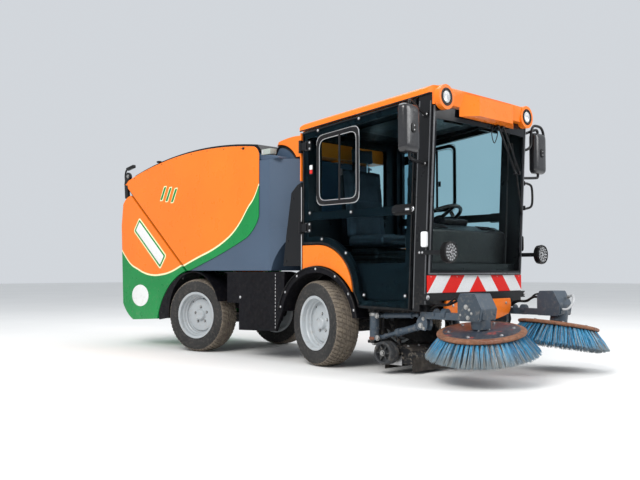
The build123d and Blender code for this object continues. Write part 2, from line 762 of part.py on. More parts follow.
def hopper_lid():
    """Black cover on top, arched like the hopper, with its hinge arms."""
    low = LID_GAP
    high = LID_GAP + LID_WALL
    rear_x, middle_x, front_x = LID_SPAN
    face = outline(
        roof_point(rear_x, low),
        (roof_point(middle_x, low), roof_point(front_x, low)),
        (front_x + 50, roof_point(front_x, low)[1] - 54),
        (front_x + 68, roof_point(front_x, low)[1] - 38),
        (front_x + 16, roof_point(front_x, low)[1] + LID_WALL - 4),
        (roof_point(middle_x, high), roof_point(rear_x, high)),
    )
    lid = side_prism(face, -LID_HALF, LID_HALF)
    for side in (-1, 1):
        y = sorted((side * 326, side * 350))
        arm = outline(
            (LID_PIVOT[0] - 26, LID_PIVOT[1] - 4),
            (LID_PIVOT[0], LID_PIVOT[1] - 24),
            (LID_PIVOT[0] + 78, LID_PIVOT[1] - 4),
            roof_point(-960, high - 4),
            roof_point(-890, high - 4),
            roof_point(-920, high + 45),
            (LID_PIVOT[0] + 30, LID_PIVOT[1] + 44),
        )
        lid += side_prism(arm, y[0], y[1])
    lid -= cross_pin(LID_PIVOT[0], LID_PIVOT[1], -700, 700, 12 + RUNNING_FIT)
    return lid


HOOD_HALF = BODY_HALF - 140
HOOD_TOP = SLATE_TOP + 183
HOOD_FRONT = SLATE_FRONT + 135


def hopper_hood():
    """Air housing on the hopper's front and the rounded orange intake over it."""
    housing = side_prism(
        outline(
            (PANEL_FRONT + 24, SLATE_TOP + SEAT_GAP),
            (PANEL_FRONT + 24, SLATE_TOP + 50),
            (SLATE_FRONT - 268, SLATE_TOP + 122),
            (SLATE_FRONT - 242, SLATE_TOP + 122),
            ((SLATE_FRONT - 142, SLATE_TOP + 86), (SLATE_FRONT - 56, SLATE_TOP + SEAT_GAP)),
        ),
        -HOOD_HALF + 30,
        HOOD_HALF - 30,
    )
    intake = side_prism(
        outline(
            (SLATE_FRONT - 330, HOOD_TOP - 48),
            ((SLATE_FRONT - 190, HOOD_TOP - 13), (SLATE_FRONT - 50, HOOD_TOP)),
            (HOOD_FRONT, HOOD_TOP - 6),
            (HOOD_FRONT, SLATE_TOP + 12),
            (SLATE_FRONT - 36, SLATE_TOP + 12),
            ((SLATE_FRONT - 127, SLATE_TOP + 100), (SLATE_FRONT - 234, SLATE_TOP + 132)),
        ),
        -HOOD_HALF,
        HOOD_HALF,
    )
    cover = plan_prism(
        outline(
            (SLATE_FRONT - 340, -HOOD_HALF + 60),
            (SLATE_FRONT - 250, -HOOD_HALF),
            (HOOD_FRONT, -HOOD_HALF),
            (HOOD_FRONT, HOOD_HALF),
            (SLATE_FRONT - 250, HOOD_HALF),
            (SLATE_FRONT - 340, HOOD_HALF - 60),
        ),
        SLATE_TOP,
        HOOD_TOP + 50,
    )
    foot = block((SLATE_FRONT - 30, SLATE_FRONT + 50), (-60, 60), (SLATE_TOP + SEAT_GAP, SLATE_TOP + 50))
    return [housing, (intake & cover) + foot]


def eaves(x):
    """Height of the cab's slanted roof seam."""
    return CAB_EAVES - EAVES_DROP * (CAB_FRONT - x) / (CAB_FRONT - CAB_REAR)


DOOR_REAR = CAB_REAR + 20
DOOR_FRONT = CAB_FRONT - 73
DOOR_TOP_GAP = 13
DOOR_HINGE = (CAB_REAR + 7, BODY_HALF + 12)
HINGE_HEIGHTS = (1055, 1685)
HINGE_HALF = 30
HINGE_LEAF = 18
HINGE_PIN = 7
CRESCENT_CENTRE = (WHEELBASE, TYRE_RADIUS + 230)
CRESCENT_RADIUS = FRONT_LIP_RADIUS - 68
HANDLE = (DOOR_FRONT - 122, 1141)
HANDLE_REACH = 80


def door_face(grow):
    """Door outline, its lower rear edge following the arch panel."""
    radius = CRESCENT_RADIUS + DOOR_GAP + grow
    hub_radius = FRONT_LIP_RADIUS + 10 + grow
    apart = CRESCENT_CENTRE[1] - FRONT_HUB[1]
    meet_z = (CRESCENT_CENTRE[1] + FRONT_HUB[1] - (radius**2 - hub_radius**2) / apart) / 2
    meet_x = FRONT_HUB[0] + math.sqrt(hub_radius**2 - (meet_z - FRONT_HUB[1]) ** 2)
    foot_z = DOOR_BOTTOM + grow
    foot_x = FRONT_HUB[0] + math.sqrt(hub_radius**2 - (foot_z - FRONT_HUB[1]) ** 2)
    half_angle = math.degrees(math.atan2((foot_z + meet_z) / 2 - FRONT_HUB[1], foot_x - FRONT_HUB[0]))
    top = CRESCENT_CENTRE[1] + radius
    return outline(
        (DOOR_REAR + grow, top),
        (CRESCENT_CENTRE[0], top),
        (polar(CRESCENT_CENTRE, radius, 45), (meet_x, meet_z)),
        (polar(FRONT_HUB, hub_radius, half_angle), (foot_x, foot_z)),
        (DOOR_FRONT - 62 - grow, DOOR_BOTTOM + grow),
        (DOOR_FRONT - grow, eaves(DOOR_FRONT) - DOOR_TOP_GAP - grow),
        (DOOR_REAR + grow, eaves(DOOR_REAR) - DOOR_TOP_GAP - grow),
    )


DOOR_FRAME = 58
PANE_INSET = 4


def door_frame():
    """Frame ring behind the pane, with hinge arms, a cross rail and the handle."""
    inner = DOOR_INNER
    outer = BODY_HALF - GLASS_WALL - SEAT_GAP
    frame = side_prism(door_face(0), inner, outer) - side_prism(door_face(DOOR_FRAME), inner - 5, outer + 5)
    rail = block((DOOR_REAR + 20, DOOR_FRONT - 62), (inner + 6, outer), (HANDLE[1] - 30, HANDLE[1] + 30))
    frame += rail
    for z in HINGE_HEIGHTS:
        arm = block((DOOR_HINGE[0] - 6, DOOR_REAR + 56), (BODY_HALF + 1, BODY_HALF + 14), (z - HINGE_HALF, z + HINGE_HALF))
        arm += block((DOOR_REAR + 8, DOOR_REAR + 30), (inner + 10, BODY_HALF + 4), (z - 20, z + 20))
        arm += Pos(DOOR_HINGE[0], DOOR_HINGE[1], z) * Cylinder(13, 2 * HINGE_HALF)
        arm -= Pos(DOOR_HINGE[0], DOOR_HINGE[1], z) * Cylinder(HINGE_PIN + RUNNING_FIT, 3 * HINGE_HALF)
        frame += arm
    x = (HANDLE[0] - HANDLE_REACH, HANDLE[0] + HANDLE_REACH)
    grip = block(x, (outer - 10, BODY_HALF + 24), (HANDLE[1] - 14, HANDLE[1] + 14))
    grip -= block((x[0] + 16, x[1] - 16), (BODY_HALF + 2, BODY_HALF + 13), (HANDLE[1] - 30, HANDLE[1] + 30))
    return frame + grip


def door_pane():
    """Full-height pane that faces the whole door."""
    pane = side_prism(door_face(PANE_INSET), BODY_HALF - GLASS_WALL, BODY_HALF)
    through = (DOOR_INNER - 50, BODY_HALF + 50)
    for z in HINGE_HEIGHTS:
        pane -= block((DOOR_REAR, DOOR_REAR + 36), through, (z - 26, z + 26))
    reach = HANDLE_REACH + 4
    return pane - block((HANDLE[0] - reach, HANDLE[0] + reach), through, (HANDLE[1] - 18, HANDLE[1] + 18))


CHEVRON_LOW = SCREEN_LOW - 126
CHEVRON_TOP = SCREEN_LOW - 8
BAR_LOW = CHEVRON_LOW - 51
PANEL_HALF = WHEEL_PLANE - 90


def arch_panel():
    """Orange crescent between the wheel arch and the door."""
    inner = FRONT_LIP_RADIUS + 4
    hub = FRONT_HUB
    reach = hub[0] - DOOR_REAR
    start = (hub[0] - reach, hub[1] + math.sqrt(inner**2 - reach**2))
    tip = polar(hub, inner, 34)
    top = CRESCENT_CENTRE[1] + CRESCENT_RADIUS
    face = outline(
        start,
        (polar(hub, inner, 75), tip),
        (polar(CRESCENT_CENTRE, CRESCENT_RADIUS, 40), (CRESCENT_CENTRE[0], top)),
        (start[0], top),
    )
    return side_prism(face, CAB_SHELL_HALF, BODY_HALF)


def cab_trim():
    """Orange pieces: arch panels, rear corner strips and the lower front panel."""
    strip = block((CAB_REAR - 12, CAB_REAR), (CAB_SHELL_HALF - 20, BODY_HALF - 4), (GUSSET_TOP + 7, eaves(CAB_REAR) - 15))
    half = PANEL_HALF
    face = outline(
        (-half + 10, CHEVRON_LOW - 54),
        ((-half, CAB_FLOOR + 20), (-half + 35, CAB_FLOOR - 45)),
        ((-half / 2, CAB_FLOOR - 78), (0, CAB_FLOOR - 84)),
        ((half / 2, CAB_FLOOR - 78), (half - 35, CAB_FLOOR - 45)),
        ((half, CAB_FLOOR + 20), (half - 10, CHEVRON_LOW - 54)),
    )
    front = front_prism(face, CAB_FRONT, CAB_FRONT + 30)
    return both(arch_panel()) + both(strip) + [front]


REAR_WINDOW = ((-CAB_SHELL_HALF + 145, CAB_SHELL_HALF - 145), (CAB_DECK + 375, eaves(CAB_REAR) - 52))


def pillar_face():
    """Front pillar outline, leaning forward like the screen."""
    front = CAB_FRONT - SEAT_GAP
    return outline(
        (DOOR_FRONT - 46, CAB_FLOOR),
        (front - 23, CAB_FLOOR),
        (front, CAB_FLOOR + 45),
        (front, SCREEN_LOW),
        (front + SCREEN_LEAN, SCREEN_TOP),
        (front + SCREEN_LEAN, eaves(front + SCREEN_LEAN)),
        (DOOR_FRONT + 18, eaves(DOOR_FRONT + 18)),
    )


def hinge_bracket(z):
    """Fixed leaves over and under the door's hinge barrel, with the pin through it."""
    x, y = DOOR_HINGE
    low = HINGE_HALF + 1
    bracket = Pos(x, y, z) * Cylinder(HINGE_PIN, 2 * (low + HINGE_LEAF))
    for edge in (z + low, z - low - HINGE_LEAF):
        bracket += block((CAB_REAR + SEAT_GAP, CAB_REAR + 13), (CAB_SHELL_HALF - 10, y), (edge, edge + HINGE_LEAF))
        bracket += Pos(x, y, edge + HINGE_LEAF / 2) * Cylinder(13, HINGE_LEAF)
    return bracket


TOE = CAB_FRONT - 60
FOOT_WELL = FRONT_HUB[0]
POST_DEPTH = 62
RAIL_DEPTH = 34


def cab_tub():
    """Floor, wheel arches, foot well and front wall under the doors and the screen."""
    half = CAB_SHELL_HALF
    low = block((CAB_REAR, TOE + CAB_WALL), (-half, half), (CAB_FLOOR, CAB_DECK))
    arch = Pos(FRONT_HUB[0], 0, FRONT_HUB[1]) * Rot(90, 0, 0) * Cylinder(FRONT_LIP_RADIUS + 6, 4 * half)
    lining = Pos(FRONT_HUB[0], 0, FRONT_HUB[1]) * Rot(90, 0, 0) * Cylinder(FRONT_LIP_RADIUS + 30, 4 * half)
    well = block((FOOT_WELL, TOE), (-half + 20, half - 20), (CAB_FLOOR + CAB_WALL, CAB_DECK + 50)) - lining
    well -= block((FOOT_WELL - 10, FOOT_WELL + 20), (-half, half), (CAB_FLOOR, CAB_DECK + 60))
    tub = low - arch - well
    tub -= block((CAB_REAR - 50, FOOT_WELL), (-RAIL_OUT - 10, RAIL_OUT + 10), (RAIL_LOW - 80, RAIL_TOP + 120))
    edge = SCREEN_HALF + 10
    tub += block((TOE, CAB_FRONT), (-edge, edge), (CAB_FLOOR + 45, CHEVRON_TOP))
    sill = outline(
        (TOE, -edge),
        (CAB_FRONT, -edge),
        ((CAB_FRONT + GLASS_WALL + SCREEN_BULGE, 0), (CAB_FRONT, edge)),
        (TOE, edge),
    )
    tub += plan_prism(sill, CHEVRON_TOP + SEAT_GAP, SCREEN_LOW - SEAT_GAP)
    height = (CAB_FLOOR - 50, CAB_DECK + 50)
    ramp_foot = FRONT_HUB[0] + math.sqrt((FRONT_LIP_RADIUS + 30) ** 2 - (CAB_FLOOR + CAB_WALL - FRONT_HUB[1]) ** 2)
    gaps = both(block((FOOT_WELL - 10, TOE), (half - 20, half - 20 + SEAT_GAP), height))
    for x in (FOOT_WELL + 20, ramp_foot, TOE - SEAT_GAP):
        gaps.append(block((x, x + SEAT_GAP), (-BODY_HALF, BODY_HALF), height))
    for gap in gaps:
        tub -= gap
    return solids_of(tub)


def above_eaves():
    """All the room over the cab's slanted roof seam."""
    low, high = CAB_REAR - 50, CAB_FRONT + 100
    top = CAB_EAVES + 100
    face = outline((low, eaves(low)), (high, eaves(high)), (high, top), (low, top))
    return side_prism(face, -BODY_HALF, BODY_HALF)


def cab_frame():
    """Rear wall with its window, corner posts, roof rails, front pillars and header."""
    half = CAB_SHELL_HALF
    foot = CAB_DECK + SEAT_GAP
    window_y, window_z = REAR_WINDOW
    wall = block((CAB_REAR, CAB_REAR + CAB_WALL), (-half + 45 + SEAT_GAP, half - 45 - SEAT_GAP), (foot, CAB_EAVES))
    wall -= block((CAB_REAR - 20, CAB_REAR + 60), window_y, window_z)
    post = block((CAB_REAR, CAB_REAR + POST_DEPTH), (half - 45, half), (foot, CAB_EAVES))
    over = above_eaves()
    wall -= over
    post -= over
    for z in HINGE_HEIGHTS:
        post += hinge_bracket(z)
    pillar = side_prism(pillar_face(), half + SEAT_GAP, SCREEN_HALF + 10)
    pillar -= block((TOE - SEAT_GAP, CAB_FRONT + 50), (0, 2 * half), (CAB_FLOOR, SCREEN_LOW))
    header_rear = CAB_FRONT - 75
    ends = (CAB_REAR + POST_DEPTH + SEAT_GAP, header_rear - SEAT_GAP)
    rail = side_prism(
        outline(
            (ends[0], eaves(ends[0]) - RAIL_DEPTH),
            (ends[1], eaves(ends[1]) - RAIL_DEPTH),
            (ends[1], eaves(ends[1])),
            (ends[0], eaves(ends[0])),
        ),
        half - 45,
        half,
    )
    screen_top = CAB_FRONT - SEAT_GAP + SCREEN_LEAN
    header = block((header_rear, screen_top - 18), (-half, half), (CAB_EAVES - RAIL_DEPTH, CAB_EAVES + 20))
    header += block((CAB_FRONT - 15, screen_top - 18), (-half, half), (SCREEN_TOP + 6, CAB_EAVES + 20))
    header -= over
    return [wall, header] + both(post) + both(pillar) + both(rail)


def cab_shell():
    """Whole cab body as its separate panels."""
    return cab_tub() + cab_frame()


def windscreen():
    """Bowed pane that leans forward towards its top."""
    def bow(z, lean):
        front = CAB_FRONT + 6 + lean
        back = front - GLASS_WALL
        face = outline(
            (back, -SCREEN_HALF + 4),
            (front, -SCREEN_HALF + 4),
            ((front + SCREEN_BULGE, 0), (front, SCREEN_HALF - 4)),
            (back, SCREEN_HALF - 4),
            ((back + SCREEN_BULGE, 0), (back, -SCREEN_HALF + 4)),
        )
        return Plane.XY.offset(z) * face

    return loft([bow(SCREEN_LOW, 0), bow(SCREEN_TOP, SCREEN_LEAN)])


def cab_glass():
    window_y, window_z = REAR_WINDOW
    x = CAB_REAR + 12
    rear = block((x, x + GLASS_WALL), window_y, window_z)
    return [windscreen(), rear]


ROOF_HALF = BODY_HALF + 4
ROOF_RIM = 48
ROOF_RISE = 60
ROOF_LAMP = (CAB_FRONT + 117, BODY_HALF - 85, CAB_EAVES - 25)
ROOF_LAMP_RADIUS = 50
ROOF_POD_RADIUS = 84
HOOD_LOW = CAB_EAVES - 76
VISOR_HALF = 208
VISOR_FACE = (CAB_EAVES - 122, CAB_EAVES + 10)
VISOR_LOW = CAB_EAVES - 134


def roof_crown():
    """Cross-section of the roof, rounded along both sides, laid along the slanted seam."""
    half = ROOF_HALF
    section = outline(
        (-half, -200),
        (half, -200),
        (half, ROOF_RIM - 14),
        ((half - 10, ROOF_RIM - 3), (half - 30, ROOF_RIM + 3)),
        ((0, ROOF_RISE), (-half + 30, ROOF_RIM + 3)),
        ((-half + 10, ROOF_RIM - 3), (-half, ROOF_RIM - 14)),
    )
    tilt = math.degrees(math.atan2(EAVES_DROP, CAB_FRONT - CAB_REAR))
    return Pos(CAB_FRONT, 0, CAB_EAVES) * Rot(0, -tilt, 0) * front_prism(section, CAB_REAR - CAB_FRONT - 100, 300)


def roof_visor():
    """Housing that juts out over the screen between the lamps."""
    def face(x, half, low, high):
        return Plane.YZ.offset(x) * outline((-half, low), (half, low), (half, high), (-half, high))

    root = face(CAB_FRONT + 100, VISOR_HALF + 132, VISOR_LOW, VISOR_FACE[1] + 20)
    return loft([root, face(CAB_FRONT + 177, VISOR_HALF, VISOR_FACE[0], VISOR_FACE[1])])


def cab_roof():
    """Orange roof: a slim slanted lid with a deep hood over the screen and a lamp at each corner."""
    rear = CAB_REAR - 8
    front = CAB_FRONT + SCREEN_LEAN
    side = outline(
        (rear, eaves(rear) + SEAT_GAP),
        (rear, eaves(rear) + 26),
        ((CAB_REAR + 30, eaves(CAB_REAR + 30) + 44), (CAB_REAR + 150, eaves(CAB_REAR + 150) + ROOF_RISE)),
        (CAB_FRONT - 75, eaves(CAB_FRONT - 75) + ROOF_RISE),
        ((CAB_FRONT + 20, CAB_EAVES + 56), (CAB_FRONT + 123, CAB_EAVES + 40)),
        (CAB_FRONT + 103, HOOD_LOW + 6),
        (front, HOOD_LOW),
        (front, eaves(front) + SEAT_GAP),
    )
    roof = side_prism(side, -ROOF_HALF, ROOF_HALF)
    plan = plan_prism(
        outline(
            (CAB_REAR - 20, -ROOF_HALF),
            (CAB_FRONT - 15, -ROOF_HALF),
            ((CAB_FRONT + 70, -ROOF_HALF + 24), (CAB_FRONT + 106, -ROOF_HALF + 94)),
            ((CAB_FRONT + 130, 0), (CAB_FRONT + 106, ROOF_HALF - 94)),
            ((CAB_FRONT + 70, ROOF_HALF - 24), (CAB_FRONT - 15, ROOF_HALF)),
            (CAB_REAR - 20, ROOF_HALF),
        ),
        CAB_FLOOR,
        CAB_EAVES + 200,
    )
    roof = roof & roof_crown() & plan
    inside = (CAB_REAR + 50, CAB_FRONT - 35)
    ceiling = outline(
        (inside[0], eaves(inside[0])),
        (inside[1], eaves(inside[1])),
        (inside[1], eaves(inside[1]) + 27),
        (inside[0], eaves(inside[0]) + 27),
    )
    roof -= side_prism(ceiling, -CAB_SHELL_HALF + 60, CAB_SHELL_HALF - 60)
    roof += roof_visor()
    x, y, z = ROOF_LAMP
    for side in (-y, y):
        roof += rod((x - 42, side, z), (x, side, z), ROOF_POD_RADIUS)
        roof -= rod((x - 24, side, z), (x + 8, side, z), ROOF_LAMP_RADIUS)
    return roof


PILLAR_LAMP = (CAB_FRONT + 147, 845)
PILLAR_LAMP_RADIUS = 55


def lamps():
    """Round lamps in the roof pods and on brackets at the front pillars."""
    x, y, z = ROOF_LAMP
    roof_lamp = rod((x - 24, y, z), (x - 2, y, z), ROOF_LAMP_RADIUS - SEAT_GAP)
    inner = SCREEN_HALF + 10 + SEAT_GAP
    x, z = PILLAR_LAMP
    bracket = block((CAB_FRONT - 63, x + 3), (inner, inner + 10), (z - 15, z + 15))
    lamp = rod((x, inner - 9, z), (x + 56, inner - 9, z), PILLAR_LAMP_RADIUS)
    return both(roof_lamp) + both(lamp + bracket)


def chevron_board():
    """Board across the front on its black bar."""
    half = SCREEN_HALF + 5
    x = CAB_FRONT + SEAT_GAP
    board = block((x, CAB_FRONT + 8), (-half, half), (CHEVRON_LOW, CHEVRON_TOP))
    bar = block((x, CAB_FRONT + 22), (-half - 28, half + 28), (BAR_LOW, CHEVRON_LOW - 4))
    return [board, bar]


MIRROR = (CAB_FRONT + 33, BODY_HALF + 210)
MIRROR_HEIGHT = (1485, 1805)


def mirror_head():
    """Mirror on a tube bracket ahead of the front pillar."""
    x, y = MIRROR
    low, high = MIRROR_HEIGHT
    head = block((x - 28, x + 37), (y - 84, y + 84), MIRROR_HEIGHT)
    head = fillet(head.edges().filter_by(Axis.Z), 26)
    inner = SCREEN_HALF + 10 + SEAT_GAP
    bracket = None
    for back, foot_z, tip_z, into in ((28, high - 35, high + 27, high - 15), (43, low - 45, low - 33, low + 15)):
        foot = block((x - back - 22, x - back + 22), (inner, inner + 12), (foot_z - 16, foot_z + 16))
        tube = rod((x - back, inner + 8, foot_z), (x, y, tip_z), 11)
        tube += Pos(x, y, tip_z) * Sphere(11)
        tube += rod((x, y, tip_z), (x, y, into), 11)
        bracket = foot + tube if bracket is None else bracket + foot + tube
    return head + bracket


WIPER_BOSSES = (SCREEN_HALF - 460, SCREEN_HALF - 397)


def wipers():
    """Two arms from the header, each with its blade lying along the bowed screen."""
    solids = []
    x = CAB_FRONT + SCREEN_LEAN + 68
    top = VISOR_LOW - 12
    for y in WIPER_BOSSES:
        arm = rod((x - 6, y, top), (x - 42, y + 270, top - 304), 6)
        boss = rod((x - 28, y, top), (x, y, top), 11.7)
        solids.append(arm + boss)
    return solids


SEAT_BACK = CAB_REAR + 53
STEERING = (CAB_FRONT - 345, CAB_DECK + 335)
STEERING_RADIUS = 185


def cab_interior():
    """Seat, console with its wheel, and the steering column."""
    x, z = SEAT_BACK, CAB_DECK
    seat = block((x + 90, x + 390), (-200, 200), (z, z + 125))
    cushion = block((x + 70, x + 490), (-240, 240), (z + 125, z + 235))
    seat += fillet(cushion.edges().filter_by(Axis.X), 35)
    seat += side_prism(outline((x + 50, z + 185), (x + 170, z + 185), (x + 90, z + 785), (x, z + 785)), -230, 230)
    seat += block((x + 20, x + 90), (-130, 130), (z + 815, z + 955))
    for y in (-60, 60):
        seat += rod((x + 55, y, z + 775), (x + 55, y, z + 825), 8)
    x = TOE
    dash = side_prism(
        outline((x - 195, z - 15), (x - 15, z - 15), (x - 3, z + 235), (x - 105, z + 285), (x - 215, z + 205)),
        -CAB_SHELL_HALF + 65,
        CAB_SHELL_HALF - 65,
    )
    dash += block((x - 105, x - 15), (-120, 120), (CAB_FLOOR + CAB_WALL, z - 10))
    wheel_x, wheel_z = STEERING
    foot = (TOE - 55, CAB_DECK - 75)
    dash += rod((foot[0], 0, foot[1]), (wheel_x, 0, wheel_z), 34)
    tilt = math.degrees(math.atan2(foot[0] - wheel_x, wheel_z - foot[1]))
    ring = Torus(STEERING_RADIUS, 15) + Cylinder(45, 30) + Box(2 * STEERING_RADIUS - 20, 34, 12)
    return [seat, dash + Pos(wheel_x, 0, wheel_z) * Rot(0, -tilt, 0) * ring]


def suction_head():
    """Mouth box open underneath with its hanger arms."""
    y = (-HEAD_HALF, HEAD_HALF)
    shape = side_prism(
        outline(
            (HEAD_REAR, HEAD_LOW),
            (HEAD_FRONT, HEAD_LOW),
            (HEAD_FRONT, 130),
            ((2380, 180), (2300, HEAD_TOP)),
            (HEAD_REAR + 30, HEAD_TOP),
            (HEAD_REAR, 150),
        ),
        y[0],
        y[1],
    )
    room = block((HEAD_REAR + 14, HEAD_FRONT - 14), (-HEAD_HALF + 14, HEAD_HALF - 14), (0, 132))
    shape -= room
    near, far = DUCT_ROUTE[0], DUCT_ROUTE[1]
    low = toward(far, near, math.dist(far, near) + 40)
    shape -= rod((low[0], 0, low[1]), (far[0], 0, far[1]), DUCT_RADIUS + SEAT_GAP)
    for side in (-1, 1):
        axle_y = sorted((side * (HEAD_HALF - 10), side * (SUPPORT_WHEEL[1] + SUPPORT_HALF + 6)))
        shape += cross_pin(SUPPORT_WHEEL[0], SUPPORT_WHEEL[2], axle_y[0], axle_y[1], 14)
        shape += rod((2200, side * 330, 175), (2102, side * 330, RAIL_LOW - 10), 15)
        y_span = sorted((side * 330 - 20, side * 330 + 20))
        shape += block((2080, 2122), y_span, (RAIL_LOW - 25, RAIL_LOW + 15 - SEAT_GAP))
    return shape


def suction_duct():
    """Hose lengths joined end to end from the suction head up to the hopper's inlet."""
    route = [(x, 0, z) for x, z in DUCT_ROUTE]
    corners = []
    for before, here, after in zip(DUCT_ROUTE, DUCT_ROUTE[1:], DUCT_ROUTE[2:]):
        a = math.atan2(here[1] - before[1], here[0] - before[0])
        b = math.atan2(after[1] - here[1], after[0] - here[0])
        turn = abs((b - a + math.pi) % (2 * math.pi) - math.pi)
        short = min(math.dist(before, here), math.dist(here, after))
        corners.append(0.45 * short / math.tan(turn / 2))
    path = FilletPolyline(*route, radius=corners)
    start = Plane(origin=path @ 0, z_dir=path % 0)
    ring = start * (Circle(DUCT_RADIUS) - Circle(DUCT_RADIUS - DUCT_WALL))
    hose = sweep(ring, path=path)
    for before, after in zip(route[1:], route[2:-1]):
        along = Vector(*after) - Vector(*before)
        joint = Plane(origin=Vector(*before) + along / 2, z_dir=along)
        hose -= extrude(joint * Circle(DUCT_RADIUS + 5), amount=SEAT_GAP)
    return hose


def support_wheel(side):
    y = side * SUPPORT_WHEEL[1]
    x, z = SUPPORT_WHEEL[0], SUPPORT_WHEEL[2]
    low, high = y - SUPPORT_HALF, y + SUPPORT_HALF
    wheel = cross_pin(x, z, low, high, SUPPORT_RADIUS)
    return wheel - cross_pin(x, z, low - 10, high + 10, 14 + RUNNING_FIT)


SLEEVE_RADIUS = 34


def brush_post():
    """Upright sleeve that swings on the pin, with lugs for the arm and the strut."""
    low = POST_FOOT + POST_EAR + 1
    high = RAIL_TOP - POST_EAR - 1
    middle = (low + high) / 2
    sleeve = Pos(POST[0], POST[1], middle) * Cylinder(SLEEVE_RADIUS, high - low)
    for x, z in (ARM_PIN, STRUT_PIN):
        for y in (POST[1] - 30, POST[1] + 18):
            sleeve += side_prism(
                outline((POST[0], z - 17), (x + 4, z - 17), ((x + 21, z), (x + 4, z + 17)), (POST[0], z + 17)),
                y,
                y + 12,
            )
        sleeve += cross_pin(x, z, POST[1] - 30, POST[1] + 30, 9)
    return sleeve - Pos(POST[0], POST[1], middle) * Cylinder(16 + RUNNING_FIT, 500)


ELBOW = (ARM_PIN[0] + 390, ARM_PIN[1] + 107)
CARRIER_Z = CAB_FLOOR - 15


def brush_axis():
    """Unit vector up the brush spindle on the left side."""
    return Vector(-BRUSH_SLOPE_X, BRUSH_SLOPE_OUT, 1).normalized()


def on_spindle(distance):
    """Point on the left brush's spindle line, measured up from the plate's top."""
    return Vector(*BRUSH_CENTRE) + brush_axis() * distance


COVER_HALF = 88


def brush_arm():
    """Telescopic tube, elbow plate, fore arm and motor housing."""
    y = POST[1]
    x, z = ELBOW
    meet = toward(ARM_PIN, ELBOW, math.dist(ARM_PIN, ELBOW) * 0.47)
    start = toward(ARM_PIN, ELBOW, 8)
    arm = cross_pin(ARM_PIN[0], ARM_PIN[1], y - 16.5, y + 16.5, 17)
    arm += rod((start[0], y, start[1]), (meet[0], y, meet[1]), 15)
    arm += rod((meet[0] - 10, y, meet[1] - 3), (x, y, z), 24)
    top = CARRIER_Z + 10
    plate = outline(
        (x - 30, z - 22), (x + 40, z - 32), (x + 55, z - 2), (x + 45, top - 5), (x - 15, top - 5), (x - 35, z + 28),
    )
    arm += side_prism(plate, y - 32, y - 6)
    arm += block((x + 5, BRUSH_CENTRE[0] - 100), (y - 30, y + 30), (CARRIER_Z - 36, top))
    arm += side_prism(outline((x - 23, z - 22), (x + 37, z - 22), (x + 49, top - 5), (x - 5, top - 5)), y - 10, y + 26)
    arm -= cross_pin(ARM_PIN[0], ARM_PIN[1], y - 60, y + 60, 9 + RUNNING_FIT)
    x = BRUSH_CENTRE[0]
    low = CARRIER_Z - 35
    cover = side_prism(
        outline((x - 120, low), (x + 50, low), (x + 62, low + 80), (x + 10, low + 178), (x - 100, low + 178), (x - 120, low + 140)),
        y - COVER_HALF,
        y + COVER_HALF,
    )
    arm += fillet(cover.edges().filter_by(Axis.Y), 12)
    arm += rod(tuple(on_spindle(14)), tuple(on_spindle(90)), 62)
    return arm - rod(tuple(on_spindle(0)), tuple(on_spindle(60)), 22 + RUNNING_FIT)


def brush_strut():
    """Lift strut over the arm: an eye at the post and one beside the elbow."""
    y = POST[1]
    strut = cross_pin(STRUT_PIN[0], STRUT_PIN[1], y - 16.5, y + 16.5, 16)
    length = math.dist(STRUT_PIN, STRUT_EYE)
    for start, end, radius in ((8, 66, 13), (60, 300, 19), (296, length - 12, 12)):
        low = toward(STRUT_PIN, STRUT_EYE, start)
        high = toward(STRUT_PIN, STRUT_EYE, end)
        strut += rod((low[0], y, low[1]), (high[0], y, high[1]), radius)
    return strut - cross_pin(STRUT_PIN[0], STRUT_PIN[1], y - 60, y + 60, 9 + RUNNING_FIT)


PLATE_WALL = 28


def brush_place(shape):
    """Piece drawn about a vertical spindle, put on the left brush's leaning one."""
    return Plane(origin=BRUSH_CENTRE, x_dir=(1, 0, BRUSH_SLOPE_X), z_dir=brush_axis()) * shape


def brush_disc():
    face = outline(
        (0, -PLATE_WALL),
        (BRUSH_PLATE_RADIUS - 12, -PLATE_WALL),
        (BRUSH_PLATE_RADIUS, -PLATE_WALL + 8),
        (BRUSH_PLATE_RADIUS - 6, -4),
        (BRUSH_PLATE_RADIUS - 40, 0),
        (70, 0),
        (60, 6),
        (22, 6),
        (22, 58),
        (0, 58),
    )
    return brush_place(revolve(Plane.XZ * face, axis=Axis.Z))


def brush_bristles():
    foot = -PLATE_WALL - SEAT_GAP
    face = outline(
        (190, foot),
        (BRUSH_PLATE_RADIUS - 14, foot),
        (BRUSH_TIP_RADIUS, foot - BRISTLE_LENGTH + 22),
        (BRUSH_TIP_RADIUS - 70, foot - BRISTLE_LENGTH),
    )
    return brush_place(revolve(Plane.XZ * face, axis=Axis.Z))


def solids_of(shape):
    """All separate solids in a shape or a list of shapes."""
    shapes = shape if isinstance(shape, list) else [shape]
    return [solid for item in shapes for solid in item.solids()]


